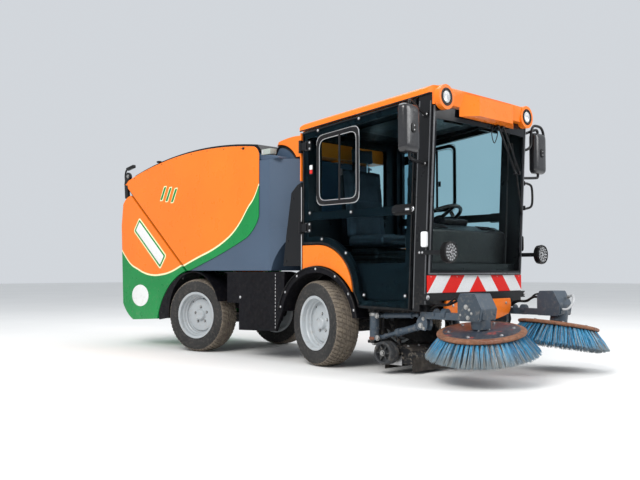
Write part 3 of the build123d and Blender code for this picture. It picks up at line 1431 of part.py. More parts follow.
def build():
    """Every node by name, still drawn from the rear axle."""
    nodes = {
        "chassis_frame": chassis_frame(),
        "battery_block": battery_block(),
        "side_skirts": both(side_skirt()),
        "rear_body": rear_body(),
        "axles": [axle(0), axle(WHEELBASE)],
        "fenders": fenders(),
        "gussets": both(gusset()),
        "cab_shell": cab_shell(),
        "cab_roof": cab_roof(),
        "cab_glass": cab_glass(),
        "cab_trim": cab_trim(),
        "cab_interior": cab_interior(),
        "lamps": lamps(),
        "mirrors": both(mirror_head()),
        "wipers": wipers(),
        "chevron_board": chevron_board(),
        "suction_head": suction_head(),
        "suction_duct": suction_duct(),
        "support_wheel_right": support_wheel(-1),
        "support_wheel_left": support_wheel(1),
        "hopper_shell": hopper_shell(),
        "hopper_side_panels": both(hopper_side_panel()),
        "hopper_hood": hopper_hood(),
        "hopper_lid": hopper_lid(),
        "tip_barrels": tip_barrels(),
        "tip_rods": tip_rods(),
    }
    for name, hub_x, side, angle in WHEELS:
        nodes["knuckle_" + name] = steered(knuckle(), hub_x, side, angle)
        nodes["rim_" + name] = steered(rim(), hub_x, side, angle)
        nodes["tyre_" + name] = steered(tyre(), hub_x, side, angle)
    pieces = [
        ("door_frame", door_frame()),
        ("door_pane", door_pane()),
        ("brush_post", brush_post()),
        ("brush_arm", brush_arm()),
        ("brush_strut", brush_strut()),
        ("brush_disc", brush_disc()),
        ("brush_bristles", brush_bristles()),
    ]
    for name, shape in pieces:
        nodes[name + "_left"] = shape
        nodes[name + "_right"] = mirrored(shape)
    return {name: solids_of(shape) for name, shape in nodes.items()}


NODES = build()
EXTENT = Compound(children=[solid for solids in NODES.values() for solid in solids]).bounding_box()
ORIGIN_X = (EXTENT.min.X + EXTENT.max.X) / 2

os.makedirs("parts", exist_ok=True)
for node, pieces_of_node in NODES.items():
    moved = [Pos(-ORIGIN_X, 0, 0) * solid for solid in pieces_of_node]
    export_step(Compound(children=moved), f"parts/{node}.step")
print("origin ahead of the rear axle", round(ORIGIN_X, 3))
print("size", EXTENT.size)
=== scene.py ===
import json
import math

import bmesh
import bpy
import numpy as np
from mathutils import Matrix, Vector


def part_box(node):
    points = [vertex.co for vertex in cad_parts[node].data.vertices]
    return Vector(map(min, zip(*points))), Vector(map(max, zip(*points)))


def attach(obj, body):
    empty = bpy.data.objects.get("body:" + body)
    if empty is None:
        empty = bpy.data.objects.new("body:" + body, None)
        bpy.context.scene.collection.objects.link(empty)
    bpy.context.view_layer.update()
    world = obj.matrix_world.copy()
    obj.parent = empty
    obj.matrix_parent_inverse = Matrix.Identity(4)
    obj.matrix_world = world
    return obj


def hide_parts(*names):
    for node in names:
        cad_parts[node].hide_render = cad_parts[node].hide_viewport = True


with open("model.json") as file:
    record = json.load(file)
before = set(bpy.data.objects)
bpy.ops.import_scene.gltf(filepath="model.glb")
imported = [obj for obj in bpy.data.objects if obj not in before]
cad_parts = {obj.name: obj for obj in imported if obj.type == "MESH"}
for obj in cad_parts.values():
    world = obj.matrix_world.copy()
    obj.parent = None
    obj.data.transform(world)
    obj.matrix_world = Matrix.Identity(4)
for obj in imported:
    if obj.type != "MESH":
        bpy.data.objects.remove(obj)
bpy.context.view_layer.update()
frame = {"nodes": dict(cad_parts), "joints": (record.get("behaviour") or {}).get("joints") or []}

# Places are drawn in millimetres with X from the rear axle, as in the part's source
ORIGIN_X = 1061.993
FRONT_HUB = (1600.0, 326.0)
SEED = 7


def place(x, y, z):
    """A point drawn from the rear axle in millimetres, in the row frame in metres."""
    return Vector(((x - ORIGIN_X) / 1000, y / 1000, z / 1000))


def polar(radius, angle, level=0.0):
    """Point at a radius and an angle round the local Z axis."""
    return Vector((radius * math.cos(angle), radius * math.sin(angle), level))


def facing(where, direction):
    """Matrix at a place whose local Z axis lies along a direction."""
    return Matrix.Translation(where) @ Vector(direction).to_track_quat("Z", "Y").to_matrix().to_4x4()


def added(name, data):
    """New object in the scene."""
    item = bpy.data.objects.new(name, data)
    bpy.context.scene.collection.objects.link(item)
    return item


def aimed(item, where, direction):
    """Put a camera or a lamp at a place, looking along a direction."""
    item.location = where
    item.rotation_mode = "QUATERNION"
    item.rotation_quaternion = direction.to_track_quat("-Z", "Y")


# Camera at the photograph's viewing angle
CAMERA_PLACE = (5911.0, -4800.0, 722.0)
CAMERA_AZIMUTH = 45.47
CAMERA_UP = 2.23
CAMERA_LENS = 44.69

camera = added("camera", bpy.data.cameras.new("camera"))
bpy.context.scene.camera = camera
azimuth = math.radians(CAMERA_AZIMUTH)
upward = math.radians(CAMERA_UP)
aim = Vector((-math.sin(azimuth) * math.cos(upward), math.cos(azimuth) * math.cos(upward), math.sin(upward)))
aimed(camera, place(*CAMERA_PLACE), aim)
camera.data.lens = CAMERA_LENS
camera.data.sensor_width = 36
camera.data.clip_start = 0.05
camera.data.clip_end = 200


# Colours and the lines that the paint follows
DUST = (0.30, 0.26, 0.21)
ORANGE = (0.89, 0.19, 0.010)
GREEN = (0.0015, 0.235, 0.050)
CREAM = (0.88, 0.84, 0.50)
SLATE = (0.056, 0.088, 0.138)
BLACK_PAINT = (0.008, 0.0085, 0.010)
ARM_BLUE = (0.042, 0.062, 0.085)
TIP_GREY = (0.20, 0.21, 0.20)
PEEL_SCALE = 420.0
PEEL_DEPTH = 0.00004
SHADE_OF_GLASS = 0.35
HOOD_HALF = 0.4215
HOOD_SPLIT_TOP = 1.7595
HOOD_ARC = (1012.0, 1545.0, 214.0)  # middle (x, z) and radius
CREAM_WIDTH = 0.016
LINE_BLUR = 0.0015
LIVERY_TOP = 2000.0
TAIL_LINE = [
    (-1250, 950), (-1159, 861), (-1053, 781), (-923, 732), (-819, 698), (-646, 674), (-525, 679), (-373, 702),
    (-202, 757), (-60, 815),
]
SIDE_LINE = [
    (-200, 745), (61, 831), (309, 908), (467, 977), (565, 1034), (671, 1125), (779, 1250), (842, 1310), (911, 1425),
]
CHEVRON_LOW = 0.574
CHEVRON_LEAN = 0.88
CHEVRON_START = 0.104
CHEVRON_PITCH = 0.32
CHEVRON_CELLS = 260.0
WEAVE = 260.0


# Materials
def tinted(colour, factor):
    return tuple(min(1.0, c * factor) for c in colour)


class Shade:
    """A material being built from nodes, with short calls for the usual ones."""

    def __init__(self, name, roughness=0.5, metallic=0.0, coat=0.0, specular=0.5):
        self.material = bpy.data.materials.new(name)
        self.material.use_nodes = True
        self.tree = self.material.node_tree
        self.shader = self.tree.nodes["Principled BSDF"]
        self.shader.inputs["Roughness"].default_value = roughness
        self.shader.inputs["Metallic"].default_value = metallic
        self.shader.inputs["Coat Weight"].default_value = coat
        self.shader.inputs["Specular IOR Level"].default_value = specular
        self.coordinates = self.tree.nodes.new("ShaderNodeTexCoord").outputs["Object"]

    def node(self, kind, inputs=(), **settings):
        made = self.tree.nodes.new(kind)
        for key, value in settings.items():
            setattr(made, key, value)
        for socket, value in dict(inputs).items():
            if isinstance(value, bpy.types.NodeSocket):
                self.tree.links.new(value, made.inputs[socket])
            else:
                made.inputs[socket].default_value = value
        return made

    def link(self, value, socket):
        self.tree.links.new(value, self.shader.inputs[socket])

    def noise(self, scale, detail=4.0, roughness=0.55):
        inputs = {"Vector": self.coordinates, "Scale": scale, "Detail": detail, "Roughness": roughness}
        return self.node("ShaderNodeTexNoise", inputs).outputs[0]

    def math(self, operation, a, b=0.0, clamp=False):
        return self.node("ShaderNodeMath", {0: a, 1: b}, operation=operation, use_clamp=clamp).outputs[0]

    def span(self, value, low, high, to_low=0.0, to_high=1.0):
        inputs = {"Value": value, "From Min": low, "From Max": high, "To Min": to_low, "To Max": to_high}
        return self.node("ShaderNodeMapRange", inputs).outputs[0]

    def mix(self, share, a, b):
        made = self.node("ShaderNodeMix", data_type="RGBA")
        for socket, value in ((0, share), (6, a), (7, b)):
            if isinstance(value, bpy.types.NodeSocket):
                self.tree.links.new(value, made.inputs[socket])
            elif socket == 0:
                made.inputs[socket].default_value = value
            else:
                made.inputs[socket].default_value = (*value, 1.0)
        return made.outputs[2]

    def cloudy(self, colour, low, high, scale=2.3, start=0.3):
        """A colour that drifts between two shares of itself."""
        return self.mix(self.span(self.noise(scale), start, 0.7), tinted(colour, low), tinted(colour, high))

    def speckle(self, scale, low, high):
        """Fine spots, more of them the lower the two levels are."""
        return self.span(self.noise(scale, 6.0), low, high)

    def uneven(self, scale, low, high):
        """Roughness that drifts between two values."""
        self.link(self.span(self.noise(scale), 0.3, 0.7, low, high), "Roughness")

    def axis(self, index):
        return self.node("ShaderNodeSeparateXYZ", {0: self.coordinates}).outputs[index]

    def bump(self, height, distance):
        made = self.node("ShaderNodeBump", {"Height": height, "Distance": distance, "Strength": 1.0})
        self.link(made.outputs[0], "Normal")

    def peel(self):
        """Fine orange peel of sprayed paint."""
        self.bump(self.noise(PEEL_SCALE, 2.0), PEEL_DEPTH)

    def colour(self, value):
        if isinstance(value, bpy.types.NodeSocket):
            self.link(value, "Base Color")
        else:
            self.shader.inputs["Base Color"].default_value = (*value, 1.0)


def paint(name, colour, roughness, coat, dust, specular):
    """Sprayed paint: slight orange peel, faint tone changes and thin dust low down."""
    s = Shade(name, roughness=roughness, coat=coat, specular=specular)
    low = s.span(s.axis(2), 0.75, 0.1)
    dirt = s.math("MULTIPLY", low, s.speckle(38.0, 0.52, 0.75), True)
    dirt = s.math("MULTIPLY", dirt, dust * 4, True)
    s.colour(s.mix(dirt, s.cloudy(colour, 0.93, 1.05), DUST))
    s.uneven(9.0, roughness * 0.85, roughness * 1.25)
    s.peel()
    return s.material


def moulded(name, colour, grain, roughness, dust, specular):
    """Moulded plastic: fine grain, slight fading and specks of dust."""
    s = Shade(name, roughness=roughness, specular=specular)
    speck = s.math("MULTIPLY", s.speckle(26.0, 0.5, 0.78), dust)
    s.colour(s.mix(speck, s.cloudy(colour, 0.8, 1.3, 3.0), DUST))
    s.uneven(30.0, roughness * 0.8, min(1.0, roughness * 1.3))
    s.bump(s.noise(700.0, 2.0), grain)
    return s.material


def metal(name, colour, roughness, scale):
    """Bare or plated metal with fine brushing and dull patches."""
    s = Shade(name, roughness=roughness, metallic=1.0)
    s.colour(s.cloudy(colour, 1.0, 0.72, 14.0, 0.35))
    s.uneven(24.0, roughness * 0.8, roughness * 1.5)
    s.bump(s.noise(scale, 3.0), 0.00005)
    return s.material


def lens(name, colour, alpha, roughness):
    """Clear or coloured lens: see-through by its alpha, glossy, with faint wiping marks."""
    s = Shade(name, roughness=roughness, specular=0.4)
    s.colour(s.cloudy(colour, 1.0, 1.15, 1.6))
    s.link(s.span(s.noise(5.0, 5.0), 0.4, 0.8, roughness, roughness + 0.02), "Roughness")
    s.shader.inputs["Alpha"].default_value = alpha
    s.material.surface_render_method = "BLENDED"
    return s.material


def pane(name, tint):
    """Tinted glass that light passes straight through, its tint a little uneven."""
    s = Shade(name, roughness=0.0)
    s.shader.inputs["Transmission Weight"].default_value = 1.0
    s.shader.inputs["IOR"].default_value = 1.0
    s.colour(s.cloudy(tint, 1.0, 1.06, 1.6))
    ray = s.node("ShaderNodeLightPath").outputs["Is Shadow Ray"]
    s.link(s.math("SUBTRACT", 1.0, s.math("MULTIPLY", ray, 1.0 - SHADE_OF_GLASS)), "Alpha")
    return s.material


def hood_paint(name):
    """Slate housing under the orange intake, parted along the intake's lower arc."""
    s = Shade(name, roughness=0.32, coat=0.15, specular=0.35)
    middle = place(HOOD_ARC[0], 0, HOOD_ARC[1])
    inner = s.math("LESS_THAN", s.math("ABSOLUTE", s.axis(1)), HOOD_HALF)
    low = s.math("LESS_THAN", s.axis(2), HOOD_SPLIT_TOP)
    along = s.math("MAXIMUM", s.math("SUBTRACT", s.axis(0), middle.x), 0.0)
    up = s.math("SUBTRACT", s.axis(2), middle.z)
    squares = s.math("ADD", s.math("MULTIPLY", along, along), s.math("MULTIPLY", up, up))
    inside = s.math("LESS_THAN", squares, (HOOD_ARC[2] / 1000) ** 2)
    share = s.math("MULTIPLY", s.math("MULTIPLY", inner, low), inside)
    s.colour(s.mix(share, s.cloudy(ORANGE, 0.93, 1.04), s.cloudy(SLATE, 0.9, 1.1)))
    s.peel()
    return s.material


def bristle_plastic(name, colour):
    """Bristle plastic, bleached and dirty towards its tips."""
    s = Shade(name, roughness=0.5, specular=0.35)
    height = s.math("ADD", s.axis(2), s.math("MULTIPLY", s.noise(30.0), 0.05))
    s.colour(s.mix(s.span(height, 0.265, 0.19, 0.0, 0.8), s.cloudy(colour, 0.75, 1.25, 60.0), TIP_GREY))
    s.bump(s.noise(500.0, 2.0), 0.0001)
    return s.material


def woven(name, colour):
    """Cloth with crossing threads and slight wear."""
    s = Shade(name, roughness=0.95, specular=0.2)
    inputs = {"Vector": s.coordinates, "Scale": WEAVE}
    warp, weft = (s.node("ShaderNodeTexWave", inputs, bands_direction=axis).outputs[1] for axis in "YZ")
    threads = s.math("MULTIPLY", warp, weft)
    s.colour(s.mix(s.math("MULTIPLY", threads, 0.4), s.cloudy(colour, 0.75, 1.35, 8.0), tinted(colour, 2.2)))
    s.bump(threads, 0.0006)
    return s.material


def painted_side(name, points):
    """Orange over green, parted by a cream line that follows heights given along the length."""
    s = Shade(name, roughness=0.32, coat=0.08, specular=0.3)
    first, last = points[0][0], points[-1][0]
    curve = s.node("ShaderNodeFloatCurve", {"Value": s.span(s.axis(0), place(first, 0, 0).x, place(last, 0, 0).x)})
    line = curve.mapping.curves[0]
    for index, (x, z) in enumerate(points):
        spot = ((x - first) / (last - first), z / LIVERY_TOP)
        if index in (0, len(points) - 1):
            line.points[0 if index == 0 else -1].location = spot
        else:
            line.points.new(*spot)
    curve.mapping.update()
    above = s.math("SUBTRACT", s.axis(2), s.math("MULTIPLY", curve.outputs[0], LIVERY_TOP / 1000))
    upper = s.span(above, CREAM_WIDTH - LINE_BLUR, CREAM_WIDTH + LINE_BLUR)
    lower = s.span(above, -LINE_BLUR, LINE_BLUR)
    tone = s.mix(upper, s.mix(lower, s.cloudy(GREEN, 0.85, 1.1), CREAM), s.cloudy(ORANGE, 0.93, 1.04))
    speck = s.math("MULTIPLY", s.speckle(38.0, 0.55, 0.8), s.span(s.axis(2), 0.9, 0.2), True)
    s.colour(s.mix(s.math("MULTIPLY", speck, 0.35, True), tone, DUST))
    s.uneven(9.0, 0.24, 0.38)
    s.peel()
    return s.material


def chevron_paint(name):
    """Red and white reflective bands that lean in towards the middle, over a black bar."""
    s = Shade(name, roughness=0.4, specular=0.2)
    up = s.math("SUBTRACT", s.axis(2), CHEVRON_LOW)
    shift = s.math("SUBTRACT", s.math("MULTIPLY", up, CHEVRON_LEAN), CHEVRON_START)
    along = s.math("ADD", s.math("ABSOLUTE", s.axis(1)), shift)
    band = s.math("GREATER_THAN", s.math("FRACT", s.math("DIVIDE", along, CHEVRON_PITCH)), 0.5)
    cells = s.node("ShaderNodeTexVoronoi", {"Vector": s.coordinates, "Scale": CHEVRON_CELLS}).outputs[0]
    share = s.span(cells, 0.0, 0.8)
    white = s.mix(share, (0.86, 0.86, 0.86), (0.68, 0.69, 0.70))
    strong = s.mix(share, (0.82, 0.012, 0.006), (0.66, 0.008, 0.004))
    bar = s.math("LESS_THAN", up, -0.002)
    s.colour(s.mix(bar, s.mix(band, white, strong), BLACK_PAINT))
    s.bump(cells, 0.0001)
    return s.material


def worn_plate(name, colour, rust, share, bright):
    """Painted plate scuffed through to primer and rust."""
    s = Shade(name)
    patch = s.span(s.noise(5.5, 6.0, 0.6), 0.62 - share, 0.70 - share)
    scuff = s.span(s.noise(9.0, 5.0, 0.6), 0.58, 0.66)
    worn = s.mix(s.span(s.noise(40.0), 0.4, 0.7), rust, tinted(rust, 0.55))
    worn = s.mix(patch, s.cloudy(colour, 0.8, 1.25, 7.0), worn)
    worn = s.mix(s.math("MULTIPLY", scuff, 0.75), worn, bright)
    s.colour(s.mix(s.math("MULTIPLY", s.speckle(60.0, 0.5, 0.8), 0.4), worn, DUST))
    s.link(s.span(patch, 0.0, 1.0, 0.35, 0.85), "Roughness")
    s.bump(s.noise(180.0, 5.0), 0.0005)
    return s.material


def tyre_rubber(name):
    """Black sidewall, slightly dusty."""
    s = Shade(name, roughness=0.8)
    tone = s.mix(s.span(s.noise(4.0), 0.3, 0.7), (0.012, 0.012, 0.0125), (0.026, 0.025, 0.024))
    s.colour(s.mix(s.math("MULTIPLY", s.speckle(45.0, 0.5, 0.75), 0.28), tone, (0.16, 0.14, 0.12)))
    s.bump(s.noise(500.0, 3.0), 0.0004)
    return s.material


def tread_rubber(name):
    """Tread with brown dust ground in."""
    s = Shade(name, roughness=0.9)
    tone = s.mix(s.span(s.noise(22.0, 5.0), 0.35, 0.7), (0.20, 0.165, 0.125), (0.115, 0.095, 0.078))
    s.colour(s.mix(s.math("MULTIPLY", s.speckle(60.0, 0.5, 0.8), 0.5), tone, (0.05, 0.045, 0.04)))
    s.bump(s.noise(380.0, 4.0), 0.0006)
    return s.material


# key: name, colour, roughness, coat, dust, specular
PAINTS = {
    "orange": ("orange_paint", ORANGE, 0.28, 0.1, 0.12, 0.35),
    "green": ("green_paint", GREEN, 0.28, 0.08, 0.12, 0.3),
    "slate": ("slate_paint", SLATE, 0.42, 0.05, 0.12, 0.35),
    "cab_black": ("cab_black_paint", BLACK_PAINT, 0.3, 0.0, 0.05, 0.22),
    "frame_black": ("frame_black_paint", (0.009, 0.0095, 0.011), 0.45, 0.0, 0.25, 0.3),
    "arm": ("arm_paint", ARM_BLUE, 0.42, 0.0, 0.12, 0.5),
    "cover_plate": ("cover_plate_paint", (0.030, 0.045, 0.062), 0.38, 0.05, 0.2, 0.5),
    "silver": ("silver_paint", (0.40, 0.43, 0.45), 0.33, 0.1, 0.15, 0.5),
    "white": ("white_paint", (0.8, 0.8, 0.79), 0.28, 0.4, 0.12, 0.5),
    "pale": ("pale_grey_paint", (0.34, 0.38, 0.35), 0.5, 0.0, 0.12, 0.5),
    "cream": ("cream_film", CREAM, 0.35, 0.05, 0.12, 0.3),
}
# key: name, colour, grain, roughness, dust, specular
MOULDINGS = {
    "plastic": ("black_plastic", (0.0035, 0.0034, 0.0052), 0.00015, 0.5, 0.03, 0.12),
    "trim": ("trim_black_plastic", (0.005, 0.005, 0.006), 0.0002, 0.34, 0.04, 0.25),
    "mirror_shell": ("mirror_shell_plastic", (0.012, 0.012, 0.014), 0.0, 0.2, 0.03, 0.7),
    # grey seal whose grey is partly a painted highlight along the pillar and windscreen edges
    "seal_and_painted_highlight": ("dark_seal_rubber", (0.075, 0.078, 0.085), 0.0001, 0.3, 0.1, 0.5),
    "frit": ("black_glass_border", (0.003, 0.004, 0.006), 0.0, 0.1, 0.01, 0.15),
    "screen_dark": ("display_glass", (0.004, 0.006, 0.009), 0.0, 0.06, 0.02, 0.5),
    "support": ("support_wheel_rubber", (0.022, 0.024, 0.027), 0.0004, 0.6, 0.35, 0.5),
    "hose_pale": ("pale_hose", (0.42, 0.43, 0.44), 0.0002, 0.4, 0.15, 0.5),
    "rust": ("rusty_collar", (0.16, 0.06, 0.035), 0.0008, 0.85, 0.3, 0.5),
    "rubber": ("black_rubber", (0.006, 0.006, 0.007), 0.0002, 0.55, 0.1, 0.25),
    # black used as painted shade in the rim's nut recesses and holes and at the bristle roots
    "socket": ("dark_socket", (0.006, 0.006, 0.007), 0.0004, 0.6, 0.0, 0.5),
    # pale seal; on the sliding window and the door's rear edge its paleness is partly a painted highlight
    "seal": ("pale_seal", (0.42, 0.42, 0.43), 0.0004, 0.5, 0.1, 0.5),
    "flap": ("brown_flap", (0.022, 0.018, 0.015), 0.0004, 0.85, 0.3, 0.5),
}
# key: name, colour, roughness, scale of the brushing
METALS = {
    "steel": ("bright_steel", (0.62, 0.62, 0.63), 0.35, 160.0),
    "chrome": ("chrome", (0.85, 0.85, 0.86), 0.12, 160.0),
    "cast": ("cast_alloy", (0.46, 0.46, 0.45), 0.5, 90.0),
    "mirror": ("mirror_glass", (0.82, 0.84, 0.86), 0.03, 5.0),
}
# key: name, colour, alpha, roughness
LENSES = {
    "lens": ("lamp_lens", (0.8, 0.82, 0.84), 0.35, 0.08),
    "amber": ("amber_lens", (0.75, 0.13, 0.03), 0.9, 0.2),
    "white_lens": ("white_lens", (0.72, 0.73, 0.74), 0.95, 0.15),
    "red_lens": ("red_lens", (0.6, 0.02, 0.015), 0.92, 0.15),
}
BRISTLE_COLOURS = {
    "bristle": ("bristle_blue", (0.055, 0.29, 0.50)),
    "bristle_dark": ("bristle_deep_blue", (0.022, 0.13, 0.27)),
    "bristle_grey": ("bristle_grey", (0.26, 0.30, 0.31)),
    "bristle_brown": ("bristle_brown", (0.15, 0.09, 0.055)),
}
MATERIALS = {
    "tyre": tyre_rubber("tyre_rubber"),
    "tread": tread_rubber("tread_rubber"),
    "screen": pane("screen_glass", (0.86, 0.97, 0.97)),
    "door_glass": pane("door_glass", (0.40, 0.60, 0.68)),
    "fabric": woven("seat_fabric", (0.035, 0.037, 0.043)),
    "hood": hood_paint("hood_paint"),
    "tail_paint": painted_side("tail_paint", TAIL_LINE),
    "side_paint": painted_side("side_paint", SIDE_LINE),
    "chevron": chevron_paint("chevron_paint"),
    "disc_top": worn_plate("disc_top_paint", (0.028, 0.036, 0.052), (0.26, 0.07, 0.03), -0.01, (0.36, 0.05, 0.03)),
    "disc_rim": worn_plate("disc_rim_rust", (0.17, 0.06, 0.03), (0.24, 0.10, 0.05), 0.25, (0.12, 0.05, 0.03)),
}
for kind, table in (
    (paint, PAINTS), (moulded, MOULDINGS), (metal, METALS), (lens, LENSES), (bristle_plastic, BRISTLE_COLOURS),
):
    for key, row in table.items():
        MATERIALS[key] = kind(*row)

NODE_MATERIALS = [
    ("chassis_frame", "frame_black"), ("battery_block", "plastic"), ("side_skirts", "plastic"),
    ("rear_body", "tail_paint"), ("axles", "frame_black"), ("fenders", "plastic"), ("gussets", "cab_black"),
    ("cab_shell", "cab_black"), ("cab_roof", "orange"), ("cab_glass", "screen"), ("cab_trim", "orange"),
    ("cab_interior", "fabric"), ("lamps", "plastic"), ("mirrors", "plastic"), ("wipers", "plastic"),
    ("chevron_board", "chevron"), ("suction_head", "frame_black"), ("suction_duct", "rubber"),
    ("support_wheel", "rubber"), ("hopper_shell", "slate"), ("hopper_side_panels", "side_paint"),
    ("hopper_hood", "hood"), ("hopper_lid", "cab_black"), ("tip_barrels", "frame_black"),
    ("tip_rods", "steel"), ("knuckle", "frame_black"), ("rim", "silver"), ("tyre", "tyre"),
    ("door_frame", "cab_black"), ("door_pane", "door_glass"), ("brush_post", "arm"), ("brush_arm", "arm"),
    ("brush_strut", "arm"), ("brush_disc", "arm"), ("brush_bristles", "bristle"),
]


def material_for(node):
    for start, name in NODE_MATERIALS:
        if node.startswith(start):
            return MATERIALS[name]
    return MATERIALS["plastic"]


for node_name, node_object in frame["nodes"].items():
    node_object.data.materials.clear()
    node_object.data.materials.append(material_for(node_name))


MILLIMETRES = Matrix.Scale(0.001, 4)
TO_FRAME = MILLIMETRES @ Matrix.Translation((-ORIGIN_X, 0, 0))


class Shape:
    """A mesh drawn in millimetres from the rear axle, or about a matrix of its own."""

    def __init__(self, matrix=TO_FRAME):
        self.bm = bmesh.new()
        self.matrix = matrix
        self.slots = []

    def index_of(self, material):
        if material not in self.slots:
            self.slots.append(material)
        return self.slots.index(material)

    def grid(self, rows, material, close_rows=False, cap=False):
        """Quads between rows of points."""
        index = self.index_of(material)
        made = [[self.bm.verts.new(p) for p in row] for row in rows]
        count = len(made)
        for r in range(count if close_rows else count - 1):
            low, high = made[r], made[(r + 1) % count]
            n = len(low)
            for c in range(n):
                d = (c + 1) % n
                self.bm.faces.new((low[c], low[d], high[d], high[c])).material_index = index
        if cap:
            for row in (made[0][::-1], made[-1]):
                self.bm.faces.new(row).material_index = index

    def lathe(self, profile, material, turn=Matrix.Identity(4), segments=48, closed=False, cap=False):
        """Profile of (along, radius) turned about the local Z axis."""
        turns = [2 * math.pi * k / segments for k in range(segments)]
        rows = [[turn @ polar(radius, a, along) for a in turns] for along, radius in profile]
        self.grid(rows, material, close_rows=closed, cap=cap)

    def rod(self, start, end, radius, material, segments=16, edge=None, radius_end=None):
        start, end = Vector(start), Vector(end)
        length = (end - start).length
        edge = min(radius * 0.18, 2.0) if edge is None else edge
        last = radius if radius_end is None else radius_end
        turn = facing(start, end - start)
        profile = [(0, radius - edge), (edge, radius), (length - edge, last), (length, last - edge)]
        self.lathe(profile, material, turn, segments, cap=True)

    def block(self, x, y, z, material, edge=2.0, turn=Matrix.Identity(4)):
        sizes = Vector((x[1] - x[0], y[1] - y[0], z[1] - z[0]))
        centre = Vector((x[0] + x[1], y[0] + y[1], z[0] + z[1])) / 2
        made = bmesh.ops.create_cube(self.bm, size=1.0)["verts"]
        for v in made:
            v.co = Vector((v.co.x * sizes.x, v.co.y * sizes.y, v.co.z * sizes.z)) + centre
        index = self.index_of(material)
        for face in {f for v in made for f in v.link_faces}:
            face.material_index = index
        if edge:
            edges = list({e for v in made for e in v.link_edges})
            result = bmesh.ops.bevel(
                self.bm, geom=edges, offset=min(edge, min(sizes) * 0.45), segments=2, profile=0.6, affect="EDGES",
                material=index,
            )
            made = list({v for f in result["faces"] for v in f.verts} | {v for v in made if v.is_valid})
        for v in made:
            v.co = turn @ v.co

    def prism(self, outline, low, high, material, axis="Y", edge=2.0, turn=Matrix.Identity(4)):
        """Outline extruded along an axis: (x, z) along Y, (x, y) along Z or (y, z) along X."""
        def at(point, level):
            a, b = point
            return turn @ Vector({"Y": (a, level, b), "Z": (a, b, level), "X": (level, a, b)}[axis])
        index = self.index_of(material)
        first = [self.bm.verts.new(at(p, low)) for p in outline]
        second = [self.bm.verts.new(at(p, high)) for p in outline]
        faces = [self.bm.faces.new(first[::-1]), self.bm.faces.new(second)]
        n = len(outline)
        for k in range(n):
            faces.append(self.bm.faces.new((first[k], first[(k + 1) % n], second[(k + 1) % n], second[k])))
        for face in faces:
            face.material_index = index
        bmesh.ops.recalc_face_normals(self.bm, faces=faces)
        if edge:
            rims = list({e for f in faces[:2] for e in f.edges})
            bmesh.ops.bevel(self.bm, geom=rims, offset=edge, segments=2, profile=0.6, affect="EDGES", material=index)

    def tube(self, points, radius, material, segments=10, steps=6, closed=False):
        """Round tube along a smooth line through points."""
        line = smooth_line([Vector(p) for p in points], steps, closed)
        count = len(line)
        rows = []
        normal = None
        for k, here in enumerate(line):
            ahead = line[(k + 1) % count] if closed or k + 1 < count else here
            behind = line[k - 1] if closed or k else here
            along = (ahead - behind).normalized()
            if normal is None:
                normal = along.orthogonal().normalized()
            normal = (normal - along * normal.dot(along)).normalized()
            side = along.cross(normal)
            rows.append([here + (normal * math.cos(a) + side * math.sin(a)) * radius
                         for a in (2 * math.pi * c / segments for c in range(segments))])
        self.grid(rows, material, close_rows=closed, cap=not closed)

    def band(self, path, section, normal, material):
        """Flat section (out from the path, up along the normal) swept round a closed flat path."""
        normal = Vector(normal)
        rows = []
        for k, here in enumerate(path):
            along = (Vector(path[(k + 1) % len(path)]) - Vector(path[k - 1])).normalized()
            out = along.cross(normal)
            rows.append([Vector(here) + out * a + normal * b for a, b in section])
        self.grid(rows, material, close_rows=True)

    def bolt(self, where, normal, radius, material="steel", height=None, washer=True, sides=6):
        """Hexagon bolt head on a washer, or a domed head with many sides."""
        where, normal = Vector(where), Vector(normal).normalized()
        height = radius * 0.65 if height is None else height
        turn = facing(where, normal)
        base = 0.0
        if washer:
            base = radius * 0.18
            self.lathe([(-1.0, radius * 1.35), (base, radius * 1.35), (base, radius * 0.6)], material, turn, 16,
                       cap=True)
        if sides == 6:
            profile = [(base, radius), (base + height * 0.85, radius), (base + height, radius * 0.82)]
        else:
            profile = [(base, radius), (base + height * 0.5, radius * 0.86), (base + height * 0.85, radius * 0.55),
                       (base + height, radius * 0.15)]
        self.lathe(profile, material, turn, sides, cap=True)

    def mirrored(self):
        """The same mesh on the other side of the vehicle, kept with this one."""
        made = bmesh.ops.duplicate(self.bm, geom=self.bm.verts[:] + self.bm.edges[:] + self.bm.faces[:])
        verts = [g for g in made["geom"] if isinstance(g, bmesh.types.BMVert)]
        for v in verts:
            v.co.y = -v.co.y
        bmesh.ops.reverse_faces(self.bm, faces=[g for g in made["geom"] if isinstance(g, bmesh.types.BMFace)])

    def finish(self, name, body, replaces=(), sharp=35, *, slot, recalc=True):
        if recalc:
            bmesh.ops.recalc_face_normals(self.bm, faces=self.bm.faces[:])
        self.bm.transform(self.matrix)
        mesh = bpy.data.meshes.new(name)
        self.bm.to_mesh(mesh)
        self.bm.free()
        mesh.polygons.foreach_set("use_smooth", [True] * len(mesh.polygons))
        mesh.set_sharp_from_angle(angle=math.radians(sharp))
        for material in self.slots:
            mesh.materials.append(MATERIALS[material])
        made = added(name, mesh)
        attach(made, body)
        if replaces:
            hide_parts(*replaces)


def smooth_line(points, steps, closed=False):
    """Points along a smooth line through the given ones."""
    count = len(points)
    made = []
    for k in range(count if closed else count - 1):
        b, c = points[k], points[(k + 1) % count]
        a = points[k - 1] if closed or k else b * 2 - c
        d = points[(k + 2) % count] if closed or k + 2 < count else c * 2 - b
        for step in range(steps):
            t = step / steps
            square, cube = 2 * a - 5 * b + 4 * c - d, 3 * b - a - 3 * c + d
            made.append(0.5 * (2 * b + (c - a) * t + square * t**2 + cube * t**3))
    if not closed:
        made.append(points[-1])
    return made


